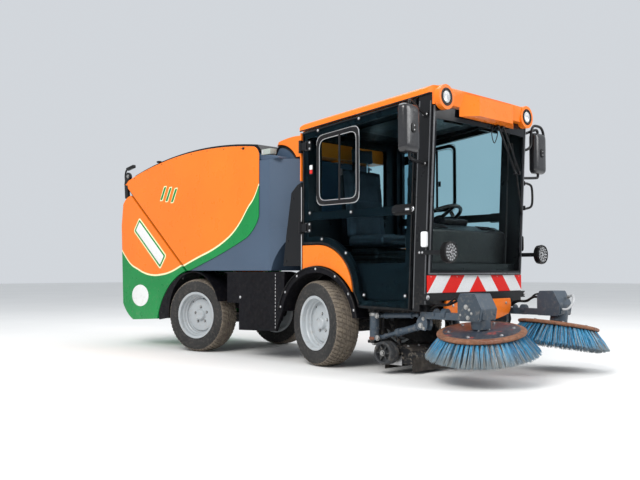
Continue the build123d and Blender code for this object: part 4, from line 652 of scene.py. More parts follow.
def rounded(x, z, radius, steps=5):
    """Points round a rectangle with rounded corners."""
    made = []
    for cx, cz, start in (
        (x[1] - radius, z[1] - radius, 0), (x[0] + radius, z[1] - radius, 90),
        (x[0] + radius, z[0] + radius, 180), (x[1] - radius, z[0] + radius, 270),
    ):
        for k in range(steps + 1):
            a = math.radians(start + 90 * k / steps)
            made.append((cx + radius * math.cos(a), cz + radius * math.sin(a)))
    return made


SIDES = [("right", -1), ("left", 1)]
JOINTS = {joint["name"]: joint for joint in frame["joints"]}


def joint_turn(name, side=1):
    """Matrix whose Z axis is a joint's axis, drawn in millimetres about the joint."""
    joint = JOINTS[name]
    return facing(joint["pos_m"], Vector(joint["axis"]) * side) @ MILLIMETRES


# Wheels
TREAD_PITCHES = 56
TREAD_DEPTH = 7.0
TREAD_HALF = 94.0
TREAD_GROOVES = (-54.0, -18.0, 18.0, 54.0)
GROOVE_HALF = 4.5
GROOVE_FLARE = 1.2
TREAD_SHOULDER = 12
TREAD_SLANT = 0.011
TREAD_COLUMNS = [(0.0, 0), (0.70, 0), (0.735, 1), (0.965, 1)]  # share of a pitch, cut or not
SIDEWALL = [  # across, radius
    (99.5, 306), (102.5, 294), (105.0, 284), (105.4, 281), (104.6, 279), (106.6, 268), (107.3, 256), (107.0, 248),
    (105.6, 238), (103.6, 230), (104.0, 227), (102.6, 224), (99.6, 216), (95.2, 210.5), (95.0, 200), (88, 193.4),
]


def tread_radius(across):
    return 325.8 - 4.4 * (across / 77.5) ** 2 if abs(across) < 78 else 321.4 - 0.5 * (abs(across) - 77.5)


def tread_ring(across, slant, radius_at):
    """Ring of points over the tread's columns, where the radius depends on the cut."""
    pitch = 2 * math.pi / TREAD_PITCHES
    return [polar(radius_at(cut), (k + share + slant) * pitch, across)
            for k in range(TREAD_PITCHES) for share, cut in TREAD_COLUMNS]


def sidewall(flip):
    """Rings of one sidewall, from the tread inwards or the other way round."""
    rings = []
    for across, radius in SIDEWALL[::flip]:
        dip = 5.0 if radius > 300 else 2.2 if radius > 290 else 0.0
        rings.append(tread_ring(flip * across, flip * TREAD_SLANT * TREAD_HALF, lambda cut: radius - dip * cut))
    return rings


def tyre_shape(name, side):
    shape = Shape(joint_turn("spin_" + name, side))
    lines = [(-TREAD_HALF, 0), (-TREAD_HALF + TREAD_SHOULDER, 0)]
    for centre in TREAD_GROOVES:
        low, high = centre - GROOVE_HALF, centre + GROOVE_HALF
        lines += [(low - GROOVE_FLARE, 0), (low, 1), (high, 1), (high + GROOVE_FLARE, 0)]
    lines += [(TREAD_HALF - TREAD_SHOULDER, 0), (TREAD_HALF, 0)]
    rows = []
    for across, groove in lines:
        share = 0.55 if abs(across) < 20 else 0.9
        rows.append(tread_ring(across, TREAD_SLANT * across,
                               lambda cut: tread_radius(across) - TREAD_DEPTH * max(groove, cut * share)))
    shape.grid(sidewall(-1) + rows + sidewall(1), "tyre", close_rows=True)
    tread = shape.index_of("tread")
    for face in shape.bm.faces:
        middle = face.calc_center_median()
        if abs(middle.z) < 100 and math.hypot(middle.x, middle.y) > 300:
            face.material_index = tread
    shape.finish("tyre_dressed_" + name, "wheel_" + name, ["tyre_" + name], sharp=24, slot="tyre")


RIM_PROFILE = [
    (-101, 206.5), (-100, 208), (-97, 208), (-95.6, 206), (-95.6, 194), (-93, 192.8), (-64, 192.8), (-50, 172),
               (40, 172),
    (62, 192.8), (93, 192.8), (95.6, 194), (95.6, 206), (97, 208), (100, 208), (101.2, 206.5), (101.2, 203),
    (99, 199), (97.5, 192), (97, 188), (94, 186.5), (70, 185.8), (64, 184), (58, 178), (52, 174.5), (40, 172.8),
    (36, 171), (33, 166), (30, 163.5), (19, 162.6), (13, 160), (10.5, 154), (11.5, 149), (16, 145.5), (21.5, 143),
               (24.2, 139),
    (24.8, 134), (24.4, 92), (23.4, 60), (24, 55), (28, 51), (36, 47.5), (45, 44), (50, 39), (52, 30), (50.5, 27),
               (50, 12),
    (48.6, 9), (48.6, 0.01),
]
STUD_CIRCLE = 70.0
STUDS = 5


def rim_shape(name, side):
    shape = Shape(joint_turn("spin_" + name, side))
    back = [(40, 0.01), (40, 31), (4, 32.2), (4, 150), (8, 158), (8, 164), (-48, 165.5), (-62, 185), (-99, 187),
            (-101, 190)]
    shape.lathe(RIM_PROFILE + back, "silver", segments=96, closed=True)
    for k in range(STUDS):
        a = 2 * math.pi * (k + 0.3) / STUDS
        centre = polar(STUD_CIRCLE, a, 23.6)
        turn = Matrix.Translation(centre)
        shape.lathe([(0, 15.5), (2.6, 14.6), (2.6, 12.6), (0.4, 11.8)], "silver", turn, 24)
        # Black ring round each nut: painted shade in the recess.
        shape.lathe([(0.2, 11.9), (0.5, 11.0), (0.5, 8.0)], "socket", turn, 24)
        shape.bolt(centre + Vector((0, 0, 0.3)), (0, 0, 1), 8.2, "cast", 9.0, washer=False)
    valve = math.radians(70)
    root = polar(168, valve, 36)
    shape.rod(root, root + polar(-14, valve, 22), 4.0, "rubber", 10)
    for k in range(2):
        # Two black discs on the rim: painted shade standing for holes.
        a = valve + math.pi * (k + 0.35)
        where = polar(157, a, 15)
        shape.lathe([(-1.5, 6.5), (0.3, 6.0), (0.3, 0.01)], "socket", Matrix.Translation(where), 14)
    shape.finish("rim_dressed_" + name, "wheel_" + name, ["rim_" + name], sharp=28, slot="rim_silver")


for wheel in ("front_right", "front_left", "rear_right", "rear_left"):
    wheel_side = -1 if wheel.endswith("right") else 1
    tyre_shape(wheel, wheel_side)
    rim_shape(wheel, wheel_side)


# Brushes
PLATE_WALL = 28.0
STRANDS = 3400
TUFTS = 56
TUFT_RINGS = 4
FOOT_RADIUS, FOOT_STEP = 212, 17
TIP_RADIUS, TIP_STEP, TIP_LIMIT = 290, 24, 369.5
TIP_DROP, DROP_STEP, DROP_LIMIT = 148, 8, 151
TONE_SHARES = (0.56, 0.16, 0.19, 0.09)


def strand(shape, index, foot, middle, tip, width):
    """One bristle as a slim three-sided strip with a slight bend."""
    along = (tip - foot).normalized()
    side = along.orthogonal().normalized()
    other = along.cross(side)
    rows = []
    for point, w in ((foot, width), (middle, width), (tip, width * 0.7)):
        rows.append([shape.bm.verts.new(point + (side * math.cos(a) + other * math.sin(a)) * w * 0.58)
                     for a in (0.0, 2.094, 4.189)])
    for low, high in zip(rows, rows[1:]):
        for c in range(3):
            d = (c + 1) % 3
            shape.bm.faces.new((low[c], low[d], high[d], high[c])).material_index = index
    shape.bm.faces.new(rows[-1]).material_index = index


def bristles(side_name, side):
    rng = np.random.default_rng(SEED + side)
    shape = Shape(joint_turn("brush_spin_" + side_name))
    tones = [shape.index_of(n) for n in ("bristle", "bristle_dark", "bristle_grey", "bristle_brown")]
    foot_level = -PLATE_WALL - 0.5
    for k in range(STRANDS):
        ring = k % TUFT_RINGS
        tuft = rng.integers(TUFTS)
        a = 2 * math.pi * (tuft + ring / TUFT_RINGS + rng.normal(0, 0.14)) / TUFTS
        r = FOOT_RADIUS + FOOT_STEP * ring + rng.normal(0, 3.0)
        flare = TIP_RADIUS + TIP_STEP * ring + rng.normal(0, 5.0)
        spread = a + rng.normal(0, 0.022)
        drop = -PLATE_WALL - TIP_DROP + DROP_STEP * ring + rng.normal(0, 4.0)
        drop = max(drop, -PLATE_WALL - DROP_LIMIT)
        flare = min(flare, TIP_LIMIT)
        foot = polar(r, a, foot_level)
        tip = polar(flare, spread, drop)
        middle = foot.lerp(tip, 0.5) + polar(1, a) * rng.uniform(-2, 7)
        tone = tones[rng.choice(len(TONE_SHARES), p=TONE_SHARES)]
        strand(shape, tone, foot, middle, tip, rng.uniform(2.1, 3.4))
    # Black ring under the disc at the bristle roots: painted shade among the packed bristles.
    shape.lathe([(foot_level + 0.2, 276), (foot_level - 5, 268), (foot_level - 5, 206), (foot_level + 0.2, 196)],
                "socket", segments=64, closed=True)
    shape.finish("bristles_dressed_" + side_name, "broom_" + side_name, ["brush_bristles_" + side_name], sharp=60,
                 slot="bristle_blue", recalc=False)


def brush_disc(side_name):
    shape = Shape(joint_turn("brush_spin_" + side_name))
    top = [(0.0, 246), (0.0, 74), (5, 62), (6, 30), (6, 22.1), (57, 22), (58, 20), (58, 0.01)]
    rim = [(0.0, 246), (-2.2, 268), (-4.4, 276), (-6.5, 281), (-9, 284.3), (-14, 285), (-20, 284.6), (-25, 281),
           (-28, 274), (-28, 190), (-27.9, 0.01)]
    shape.lathe(top, "disc_top", segments=96)
    shape.lathe(rim, "disc_rim", segments=96)
    for k in range(6):
        a = 2 * math.pi * (k + 0.4) / 6
        shape.bolt(polar(205, a, -0.2), (0, 0, 1), 9.5, "steel", 6.0)
    for k in range(4):
        a = 2 * math.pi * k / 4
        shape.bolt(polar(50, a, 5.6), (0, 0, 1), 7.0, "steel", 5.0)
    bmesh.ops.remove_doubles(shape.bm, verts=shape.bm.verts[:], dist=0.05)
    shape.finish("disc_dressed_" + side_name, "broom_" + side_name, ["brush_disc_" + side_name], sharp=32,
                 slot="arm_blue")


for side_name, side in SIDES:
    bristles(side_name, side)
    brush_disc(side_name)


# Shared outlines and places
DOOR_FACE = 590.0
PILLAR_FACE = 585.0
CAB_REAR = 1417.0
CAB_FRONT = 2635.0
SCREEN_LOW = 700.0
SCREEN_TOP = 1826.0
SCREEN_LEAN = 55.0
SCREEN_BULGE = 30.0
SCREEN_EDGE = 571.0
EAVES_FRONT = 1910.0
EAVES_DROP = 98.0


def softened(points, radius, steps=4):
    """Outline with its corners rounded off."""
    made = []
    count = len(points)
    for k in range(count):
        before, here, after = (Vector(points[(k + d) % count]) for d in (-1, 0, 1))
        start = here + (before - here).normalized() * radius
        end = here + (after - here).normalized() * radius
        for step in range(steps + 1):
            t = step / steps
            made.append(tuple(start * (1 - t) ** 2 + here * (2 * t * (1 - t)) + end * t**2))
    return made


def shrunk(points, share):
    """Outline drawn smaller about its own middle."""
    middle = sum((Vector(p) for p in points), Vector((0, 0))) / len(points)
    return [tuple(middle + (Vector(p) - middle) * share) for p in points]


def strip(low, high, height, base=-1.0, edge=1.5):
    """Section of a flat strip between two offsets, its upper edges bevelled."""
    return [(low, base), (high, base), (high, height - edge), (high - edge, height), (low + edge, height),
            (low, height - edge)]


def across(side, a, b):
    """Span between two distances from the middle, on one side of the vehicle."""
    return tuple(sorted((side * a, side * b)))


def side_line(points, y):
    return [(x, y, z) for x, z in points]


def ring_points(centre, radius, degrees):
    """Points (x, z) round a centre at the given angles."""
    return [(centre[0] + radius * math.cos(math.radians(a)),
             centre[1] + radius * math.sin(math.radians(a))) for a in degrees]


def eaves(x):
    return EAVES_FRONT - EAVES_DROP * (CAB_FRONT - x) / (CAB_FRONT - CAB_REAR)


def edge_loop(node, level):
    """Outer edge of a node's flat side at a level across, as (x, z) from the rear axle."""
    bm = bmesh.new()
    bm.from_mesh(frame["nodes"][node].data)
    bmesh.ops.remove_doubles(bm, verts=bm.verts[:], dist=0.00005)
    flat = {face for face in bm.faces if all(abs(v.co.y * 1000 - level) < 0.1 for v in face.verts)}
    after = {}
    for face in bm.faces:
        for loop in face.loops:
            if face in flat and sum(other in flat for other in loop.edge.link_faces) == 1:
                after[loop.vert] = loop.link_loop_next.vert
    longest = []
    while after:
        first, here = after.popitem()
        chain = [first]
        while here in after:
            chain.append(here)
            here = after.pop(here)
        longest = max(longest, chain, key=len)
    points = [(v.co.x * 1000 + ORIGIN_X, v.co.z * 1000) for v in longest]
    bm.free()
    return points


def screen_point(y, z, out=0.0):
    """Point on the windscreen's outer face."""
    lean = SCREEN_LEAN * (z - SCREEN_LOW) / (SCREEN_TOP - SCREEN_LOW)
    bow = SCREEN_BULGE * (1 - (y / SCREEN_EDGE) ** 2)
    return Vector((CAB_FRONT + 6 + lean + bow + out, y, z))


def screen_bar(shape, wide, high, material, proud=1.4, steps=24):
    """Thin bar on the windscreen over a span across and a span in height."""
    lying = wide[1] - wide[0] > high[1] - high[0]
    rows = []
    for k in range(steps + 1):
        t = k / steps
        ring = []
        for edge, out in ((0, -0.5), (0, proud), (1, proud), (1, -0.5)):
            y = wide[0] + (wide[1] - wide[0]) * (t if lying else edge)
            z = high[0] + (high[1] - high[0]) * (edge if lying else t)
            ring.append(screen_point(y, z, out))
        rows.append(ring)
    shape.grid(rows, material, cap=True)


# Doors
DOOR_BOLTS = [(1609, 1792), (2033, 1826), (1521, 1166), (1652, 962), (1902, 853), (1953, 1151), (2079, 550),
              (2456, 552)]
SLIDER = [(1609, 1232), (2023, 1232), (2023, 1766), (1609, 1734)]
HINGE_HEIGHTS = (1055, 1685)
DOOR_LAMP = (1539, 1499)
HANDLE = (2440, 1141)


def door_details(name, side):
    face = side * DOOR_FACE
    out = (0, side, 0)
    trim = Shape()
    trim.band(side_line(edge_loop("door_pane_" + name, face), face), strip(-15, -2, 2.5), out, "rubber")
    trim.band(side_line(softened(SLIDER, 70), face), strip(-13, 13, 7, edge=3), out, "trim")
    # Two pale rings round the sliding window: seals whose paleness is partly a painted highlight on the frame's
    # edges.
    for share in (0.92, 1.055):
        trim.band(side_line(softened(shrunk(SLIDER, share), 62), face), strip(-2.5, 2.5, 4), out, "seal")
    trim.block((1829, 1849), across(side, 589, 595), (1246, 1738), "trim", 1.5)
    trim.block((1853, 1873), across(side, 589, 601), (1430, 1475), "trim", 3)
    for z in HINGE_HEIGHTS:
        trim.prism(rounded((1462, 1538), (z - 38, z + 38), 12), face - side * 2, side * 596, "trim")
        for x, rise in ((1484, 24), (1484, -24), (1522, 24), (1522, -24)):
            trim.bolt((x, side * 596, z + rise), out, 6.5, "steel", 4, sides=12)
    x, z = HANDLE
    trim.prism(rounded((x - 98, x + 100), (z - 37, z + 37), 36, 8), face - side * 2, side * 592.5, "trim")
    trim.block((x + 40, x + 78), across(side, 602, 618), (z - 8, z + 8), "chrome", 5)
    lock = facing((x + 86, side * 592, z), out)
    trim.lathe([(0, 16), (5, 16), (6.5, 14), (6.5, 5), (5, 4), (5, 0.01)], "chrome", lock, 24)
    trim.finish("door_trim_" + name, "door_" + name, slot="cab_black")
    fixing = Shape()
    for x, z in DOOR_BOLTS:
        turn = facing((x, face, z), out)
        fixing.lathe([(-0.5, 17), (1.6, 17), (2.4, 15.5), (2.4, 8)], "rubber", turn, 24, cap=True)
        fixing.bolt((x, side * 592.2, z), out, 9.5, "steel", 5, washer=False, sides=18)
    fixing.finish("door_bolts_" + name, "door_" + name, slot="steel")
    lamp = Shape()
    x, z = DOOR_LAMP
    lamp.prism(rounded((x - 19, x + 19), (z - 38, z + 38), 6), face - side, side * 593, "trim")
    lamp.prism(rounded((x - 14, x + 14), (z - 2, z + 33), 4), side * 592, side * 599, "white_lens")
    lamp.prism(rounded((x - 14, x + 14), (z - 33, z - 4), 4), side * 592, side * 599, "red_lens")
    lamp.finish("door_lamp_" + name, "door_" + name, slot="lamp_clear")


for side_name, side in SIDES:
    door_details(side_name, side)


# Windscreen edges, pillars and eaves
screen = Shape()
screen_bar(screen, (-SCREEN_EDGE, SCREEN_EDGE), (1742, SCREEN_TOP), "frit")
screen_bar(screen, (-SCREEN_EDGE, SCREEN_EDGE), (SCREEN_LOW, 724), "frit")
# The grey seal bars along the windscreen's sides and foot are real seals, their grey partly a painted highlight.
for side_name, side in SIDES:
    screen_bar(screen, across(side, SCREEN_EDGE - 30, SCREEN_EDGE), (724, 1742), "frit")
    screen_bar(screen, across(side, SCREEN_EDGE - 9, SCREEN_EDGE + 3), (SCREEN_LOW, SCREEN_TOP), "seal_and_painted_highlight", 5.0)
screen_bar(screen, (-SCREEN_EDGE, SCREEN_EDGE), (SCREEN_LOW - 2, SCREEN_LOW + 9), "seal_and_painted_highlight", 5.0)
screen.finish("screen_edges", "chassis", slot="cab_black")

pillars = Shape()
# Two grey tubes down each pillar: seal edges, their grey partly a painted highlight.
pillars.tube([(2524, PILLAR_FACE, 470), (2540, PILLAR_FACE, 900), (2589, PILLAR_FACE, 1868)], 4.5, "seal_and_painted_highlight",
             steps=2)
pillars.tube([(2625, PILLAR_FACE, 500), (2626, PILLAR_FACE, 700), (2681, PILLAR_FACE, 1858)], 4.5, "seal_and_painted_highlight",
             steps=2)
pillars.tube([(CAB_REAR - 4, 592, eaves(CAB_REAR) - 3), (2680, 592, eaves(2680) - 3)], 5, "rubber", steps=1)
# Pale line down the door's rear edge: a seal drawn pale, partly a painted highlight.
pillars.tube([(1429, 592, 690), (1429, 592, 1371)], 3.5, "seal", steps=1)
pillars.prism(rounded((2608, 2656), (880, 985), 14), 584, 612, "white_lens", edge=7)
pillars.prism(rounded((2602, 2662), (872, 993), 18), 584, 592, "trim", edge=2)
pillars.mirrored()
pillars.finish("pillar_seals_and_painted_highlights", "chassis", slot="cab_black")

headliner = Shape()
liner = [(x, eaves(x) - rise) for x, rise in ((1482, 3), (2552, 3), (2552, 14), (1482, 14))]
headliner.prism(liner, -488, 488, "plastic", edge=3)
headliner.prism([(x, z - 12) for x, z in shrunk(liner, 0.55)], -300, 300, "trim", edge=3)
for y in (-330, 110):
    headliner.prism([(2566, 1868), (2580, 1868), (2606, 1758), (2592, 1756)], y, y + 220, "trim", edge=4)
headliner.finish("headliner", "chassis", slot="cab_black")

rear_window = Shape()
for x, out in ((CAB_REAR, -1), (CAB_REAR + 30, 1)):
    window = [(x, y, z) for y, z in rounded((-404, 404), (1146, 1764), 30)]
    rear_window.band(window, strip(-13, 13, 5, edge=2), (out, 0, 0), "rubber")
rear_window.block((CAB_REAR + 8, CAB_REAR + 34), (-13, 13), (1150, 1760), "cab_black", 2)
rear_window.finish("rear_window_frame", "chassis", slot="cab_black")


# Lamps
ROOF_LAMP = (2752, 505, 1885)
PILLAR_LAMP = (2782, 576, 845)
AHEAD = (1, 0, 0)

lamps = Shape()
turn = facing(ROOF_LAMP, AHEAD)
lamps.lathe([(-22, 49), (1, 49), (3, 47), (3, 43), (1, 41), (-20, 41)], "trim", turn, 48, closed=True)
lamps.lathe([(0.3, 50.5), (3.2, 51), (4, 54), (3.2, 60), (0.3, 61)], "trim", turn, 48, closed=True)
lamps.lathe([(-20, 0.01), (-19, 12), (-14, 28), (-4, 41)], "chrome", turn, 48)
lamps.lathe([(-19, 13), (-10, 13), (-6, 10), (-4, 0.01)], "lens", turn, 24)
lamps.lathe([(-1, 42), (1.5, 41), (6, 30), (8, 15), (8.6, 0.01)], "lens", turn, 48)
x, y, z = PILLAR_LAMP
turn = facing((x, y, z), AHEAD)
lamps.lathe([(2, 0.01), (0, 30), (0, 48), (6, 60), (12, 66), (48, 70), (54, 69), (55.5, 66), (55.5, 62), (50, 60),
             (49, 0.01)],
            "trim", turn, 48)
for k in range(5):
    lamps.lathe([(11 + 7 * k, 64), (11 + 7 * k, 69 + k), (13.5 + 7 * k, 69 + k), (13.5 + 7 * k, 64)], "trim", turn,
                40, closed=True)
for radius, count in ((12.0, 3), (32.0, 9), (50.0, 14)):
    for k in range(count):
        a = 2 * math.pi * k / count
        centre = turn @ Matrix.Translation(polar(radius, a, 48))
        lamps.lathe([(0, 9.4), (2.4, 9.0), (1.2, 7.8), (0.6, 0.01)], "chrome", centre, 12)
        lamps.lathe([(1, 7.6), (3.8, 6.0), (5.0, 3.0), (5.4, 0.01)], "lens", centre, 12)
lamps.block((CAB_FRONT - 63, x + 12), (PILLAR_FACE + 0.3, PILLAR_FACE + 10.3), (z - 15, z + 15), "cab_black", 2)
for back in (-50, -25):
    lamps.bolt((CAB_FRONT + back, PILLAR_FACE + 10.3, z), (0, 1, 0), 6, "steel", 4)
lamps.mirrored()
lamps.finish("lamps_dressed", "chassis", ["lamps"], slot="lamp_clear")


# Mirrors
MIRROR = (2668, 800)
MIRROR_MIDDLE = 1645
MIRROR_SECTIONS = [(-28, 79, 154), (-22, 84, 160), (2, 84, 160), (16, 82, 157), (27, 76, 150), (34, 62, 136),
                   (37, 40, 110)]  # ahead, half width, half height

mirrors = Shape()
x, y = MIRROR
rows = []
for ahead, half_wide, half_high in MIRROR_SECTIONS:
    corner = min(half_wide, half_high) * 0.42
    rows.append([(x + ahead, a, b) for a, b in rounded((y - half_wide, y + half_wide),
                                                       (MIRROR_MIDDLE - half_high, MIRROR_MIDDLE + half_high), corner,
                                                       6)])
mirrors.grid(rows, "mirror_shell", cap=True)
glass_line = rounded((y - 74, y + 74), (MIRROR_MIDDLE - 149, MIRROR_MIDDLE + 149), 30, 6)
mirrors.prism(glass_line, x - 30, x - 26, "mirror", axis="X", edge=1)
mirrors.prism(rounded((y - 21, y + 21), (MIRROR_MIDDLE - 33, MIRROR_MIDDLE + 33), 20.5, 8), x + 30, x + 44, "trim",
              axis="X", edge=5)
mirrors.bolt((x + 44, y, MIRROR_MIDDLE + 14), (1, 0, 0), 5, "steel", 3, washer=False)
mirrors.bolt((x + 44, y, MIRROR_MIDDLE - 14), (1, 0, 0), 5, "steel", 3, washer=False)
for back, foot_z, tip_z, into in ((28, 1770, 1832, 1790), (43, 1440, 1452, 1500)):
    mirrors.block((x - back - 22, x - back + 22), (PILLAR_FACE + 0.3, PILLAR_FACE + 12.3), (foot_z - 16, foot_z + 16),
                  "trim", 3)
    mirrors.bolt((x - back - 14, PILLAR_FACE + 12.3, foot_z), (0, 1, 0), 5, "steel", 3)
    mirrors.bolt((x - back + 14, PILLAR_FACE + 12.3, foot_z), (0, 1, 0), 5, "steel", 3)
    mirrors.tube([(x - back, PILLAR_FACE + 6, foot_z), (x - back, PILLAR_FACE + 40, foot_z + (tip_z - foot_z) * 0.16),
                  (x - 8, y - 34, tip_z - (tip_z - foot_z) * 0.06),
                  (x, y - 4, (tip_z + into) / 2 + (tip_z - into) * 0.3), (x, y, into)],
                 10.5, "trim", steps=6, segments=14)
mirrors.mirrored()
mirrors.finish("mirrors_dressed", "chassis", ["mirrors"], slot="mirror_black")

loop = Shape()
loop.tube([(2664, 590, 1655), (2668, 640, 1662), (2672, 690, 1700), (2672, 698, 1800), (2672, 730, 1852),
           (2672, 790, 1862),
           (2672, 850, 1852), (2672, 884, 1800), (2672, 888, 1690)], 10.5, "trim", segments=14)
loop.block((2646, 2682), (PILLAR_FACE, PILLAR_FACE + 10), (1630, 1680), "trim", 3)
loop.block((2660, 2684), (876, 900), (1660, 1712), "trim", 6)
loop.finish("mirror_loop", "chassis", slot="mirror_black")

handle = Shape()
handle.tube([(2664, 586, 1395), (2672, 640, 1395), (2690, 668, 1365), (2690, 668, 1235), (2664, 640, 1205),
             (2656, 586, 1205)],
            9, "trim", segments=12)
for z in (1395, 1205):
    handle.block((2640, 2680), (PILLAR_FACE, PILLAR_FACE + 7), (z - 18, z + 18), "trim", 3)
handle.finish("grab_handle", "chassis", slot="mirror_black")


# Wipers
WIPER_BOSSES = (115, 178)
WIPER_TOP = 1764

wipers = Shape()
for y in WIPER_BOSSES:
    pivot = facing((2730, y, WIPER_TOP), AHEAD)
    wipers.lathe([(0, 11.7), (20, 11.7), (26, 10), (28, 6), (28, 0.01)], "trim", pivot, 24)
    tip = Vector((2716, y + 270, WIPER_TOP - 304))
    start = Vector((2752, y, WIPER_TOP))
    wipers.rod(start, start.lerp(tip, 0.45), 6.5, "trim", 12)
    wipers.rod(start.lerp(tip, 0.42), tip, 4.2, "trim", 10)
    wipers.rod(start + Vector((0, 10, 6)), tip + Vector((2, 8, 10)), 2.6, "trim", 8)
    wipers.block((2702, 2722), (y + 262, y + 280), (WIPER_TOP - 318, WIPER_TOP - 292), "trim", 3)
blade_line = []
for k in range(13):
    share = k / 12 - 0.42
    blade_line.append(screen_point(430 + 200 * share, 1452 - 520 * share, 0))
for out, radius in ((5, 3.0), (11, 5.0)):
    wipers.tube([p + Vector((out, 0, 0)) for p in blade_line], radius, "rubber", steps=1, segments=8)
wipers.rod((2712, 385, 1462), (2702, 452, 1452), 5, "trim", 10)
wipers.tube([(2744, 60, 1768), (2750, 30, 1700), (2744, 70, 1640), (2742, 110, 1690), (2748, 118, 1756)], 3.2,
            "rubber", segments=8)
wipers.finish("wipers_dressed", "chassis", ["wipers"], slot="wiper_black")


# Seat, wheel and dash
SEAT_PADS = [  # name, middle, size, lean in degrees, lines across and lines along
    ("seat_cushion", (1752, 0, 956), (400, 460, 92), 0.0, (-60, 60), (-130, 130)),
    ("seat_back", (1546, 0, 1262), (88, 436, 576), -6.2, (-110, 20, 150), (-125, 125)),
    ("head_rest", (1525, 0, 1660), (58, 244, 130), -3.0, (), (-70, 70)),
]
PAD_VOXEL = 0.006
PAD_FRAMES = 20
PAD_CAP = 0.012
SEAM_DEPTH = 0.006
SEAM_WIDTH = 0.007
REAR_SEAM_SHARE = 0.35
PIPING_WIDTH = 0.005
PIPING_DEPTH = 0.003


def swollen(item):
    """Cloth simulation under pressure, kept in the mesh with its movement capped."""
    scene = bpy.context.scene
    count = len(item.data.vertices)
    rest = np.empty(count * 3)
    item.data.vertices.foreach_get("co", rest)
    cloth = item.modifiers.new("cloth", "CLOTH")
    cloth.settings.use_pressure = True
    cloth.settings.uniform_pressure_force = 4.0
    cloth.settings.effector_weights.gravity = 0.0
    cloth.settings.quality = 5
    cloth.point_cache.frame_start = 1
    cloth.point_cache.frame_end = PAD_FRAMES
    for step in range(1, PAD_FRAMES + 1):
        scene.frame_set(step)
    shaped = item.evaluated_get(bpy.context.evaluated_depsgraph_get()).data
    moved = np.empty(count * 3)
    shaped.vertices.foreach_get("co", moved)
    item.modifiers.remove(cloth)
    shift = (moved - rest).reshape(-1, 3)
    length = np.linalg.norm(shift, axis=1, keepdims=True)
    shift *= np.minimum(1.0, PAD_CAP / np.maximum(length, 1e-9))
    item.data.vertices.foreach_set("co", (rest.reshape(-1, 3) + shift).ravel())
    scene.frame_set(1)


def seat_pad(name, middle, size, lean, cross_lines, long_lines):
    """Crowned pad with channels sewn into its upper or front side."""
    shape = bmesh.new()
    bmesh.ops.create_cube(shape, size=1.0)
    for v in shape.verts:
        v.co = Vector([c * (s - 14) / 1000 for c, s in zip(v.co, size)])
    bmesh.ops.bevel(shape, geom=shape.edges[:], offset=min(size) * 0.28 / 1000, segments=4, profile=0.5,
                    affect="EDGES")
    mesh = bpy.data.meshes.new(name)
    shape.to_mesh(mesh)
    shape.free()
    item = added(name, mesh)
    remesh = item.modifiers.new("remesh", "REMESH")
    remesh.mode = "VOXEL"
    remesh.voxel_size = PAD_VOXEL
    fine = bpy.data.meshes.new_from_object(item.evaluated_get(bpy.context.evaluated_depsgraph_get()))
    item.modifiers.clear()
    item.data = fine
    swollen(item)
    thin = size.index(min(size))
    wide = [1, 2] if thin == 0 else [0, 1]
    long_axis, cross_axis = (wide[0], wide[1]) if thin == 0 else (1, 0)
    turn = Matrix.Rotation(math.radians(lean), 4, "Y")
    spot = place(*middle)
    edge = [s / 2000 for s in size]
    for v in item.data.vertices:
        side = 1.0 if v.co[thin] > 0 else REAR_SEAM_SHARE
        dip = 0.0
        for lines, axis in ((cross_lines, cross_axis), (long_lines, long_axis)):
            for line in lines:
                dip += math.exp(-(((v.co[axis] - line / 1000) / SEAM_WIDTH) ** 2))
        rim = math.exp(-((v.co[thin] / PIPING_WIDTH) ** 2))
        v.co[thin] -= math.copysign(SEAM_DEPTH * side * min(1.0, dip), v.co[thin]) * (1 - rim)
        for axis in wide:
            if abs(v.co[axis]) > edge[axis] - 0.02:
                v.co[axis] -= math.copysign(PIPING_DEPTH * rim, v.co[axis])
        v.co = turn @ v.co + spot
    finer = item.modifiers.new("finer", "SUBSURF")
    finer.levels = finer.render_levels = 1
    item.data.materials.clear()
    item.data.materials.append(MATERIALS["fabric"])
    item.data.polygons.foreach_set("use_smooth", [True] * len(item.data.polygons))
    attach(item, "chassis")
    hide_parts("cab_interior")


for pad in SEAT_PADS:
    seat_pad(*pad)

STEERING = Vector((2290, 0, 1110))
COLUMN_FOOT = Vector((2520, 0, 700))
STEERING_RADIUS = 185.0

seat_frame = Shape()
for k in range(6):
    inset = 12 if k % 2 else 0
    seat_frame.prism(rounded((1560 + inset, 1860 - inset), (-200 + inset, 200 - inset), 30), 777 + 20 * k,
                     797 + 20 * k, "rubber", axis="Z", edge=5)
for y in (-60, 60):
    seat_frame.rod((1525, y, 1530), (1525, y, 1620), 7, "chrome", 12)
seat_frame.prism(softened([(1497, 925), (1548, 925), (1494, 1545), (1472, 1545)], 8), -205, 205, "trim", edge=6)
seat_frame.finish("seat_frame", "chassis", ["cab_interior"], slot="seat_fabric")

dash = Shape()
dash.prism(softened([(2380, 760), (2560, 760), (2572, 1010), (2470, 1060), (2360, 980)], 16), -478, 478, "trim",
           edge=14)
dash.prism(softened([(2300, 985), (2452, 1060), (2462, 1098), (2415, 1112), (2338, 1072)], 12), -150, 150, "plastic",
           edge=8)
dash.block((2470, 2560), (-120, 120), (480, 766), "trim", 12)
dash.block((2384, 2404), (-410, -190), (1060, 1205), "trim", 8)
dash.block((2381, 2386), (-398, -202), (1072, 1193), "screen_dark", 2)
dash.rod((2420, -300, 1020), (2400, -300, 1075), 11, "trim", 14)
for y in (-300, 300):
    for k in range(5):
        dash.block((2476 + 14 * k, 2484 + 14 * k), (y - 90, y + 90), (1052 - 6 * k, 1058 - 6 * k), "plastic", 2)
axis = (STEERING - COLUMN_FOOT).normalized()
dash.rod(COLUMN_FOOT, STEERING - axis * 24, 32, "trim", 24)
dash.rod(STEERING - axis * 130, STEERING - axis * 20, 46, "plastic", 24, radius_end=40)
dash.finish("dash_dressed", "chassis", ["cab_interior"], slot="cab_black")

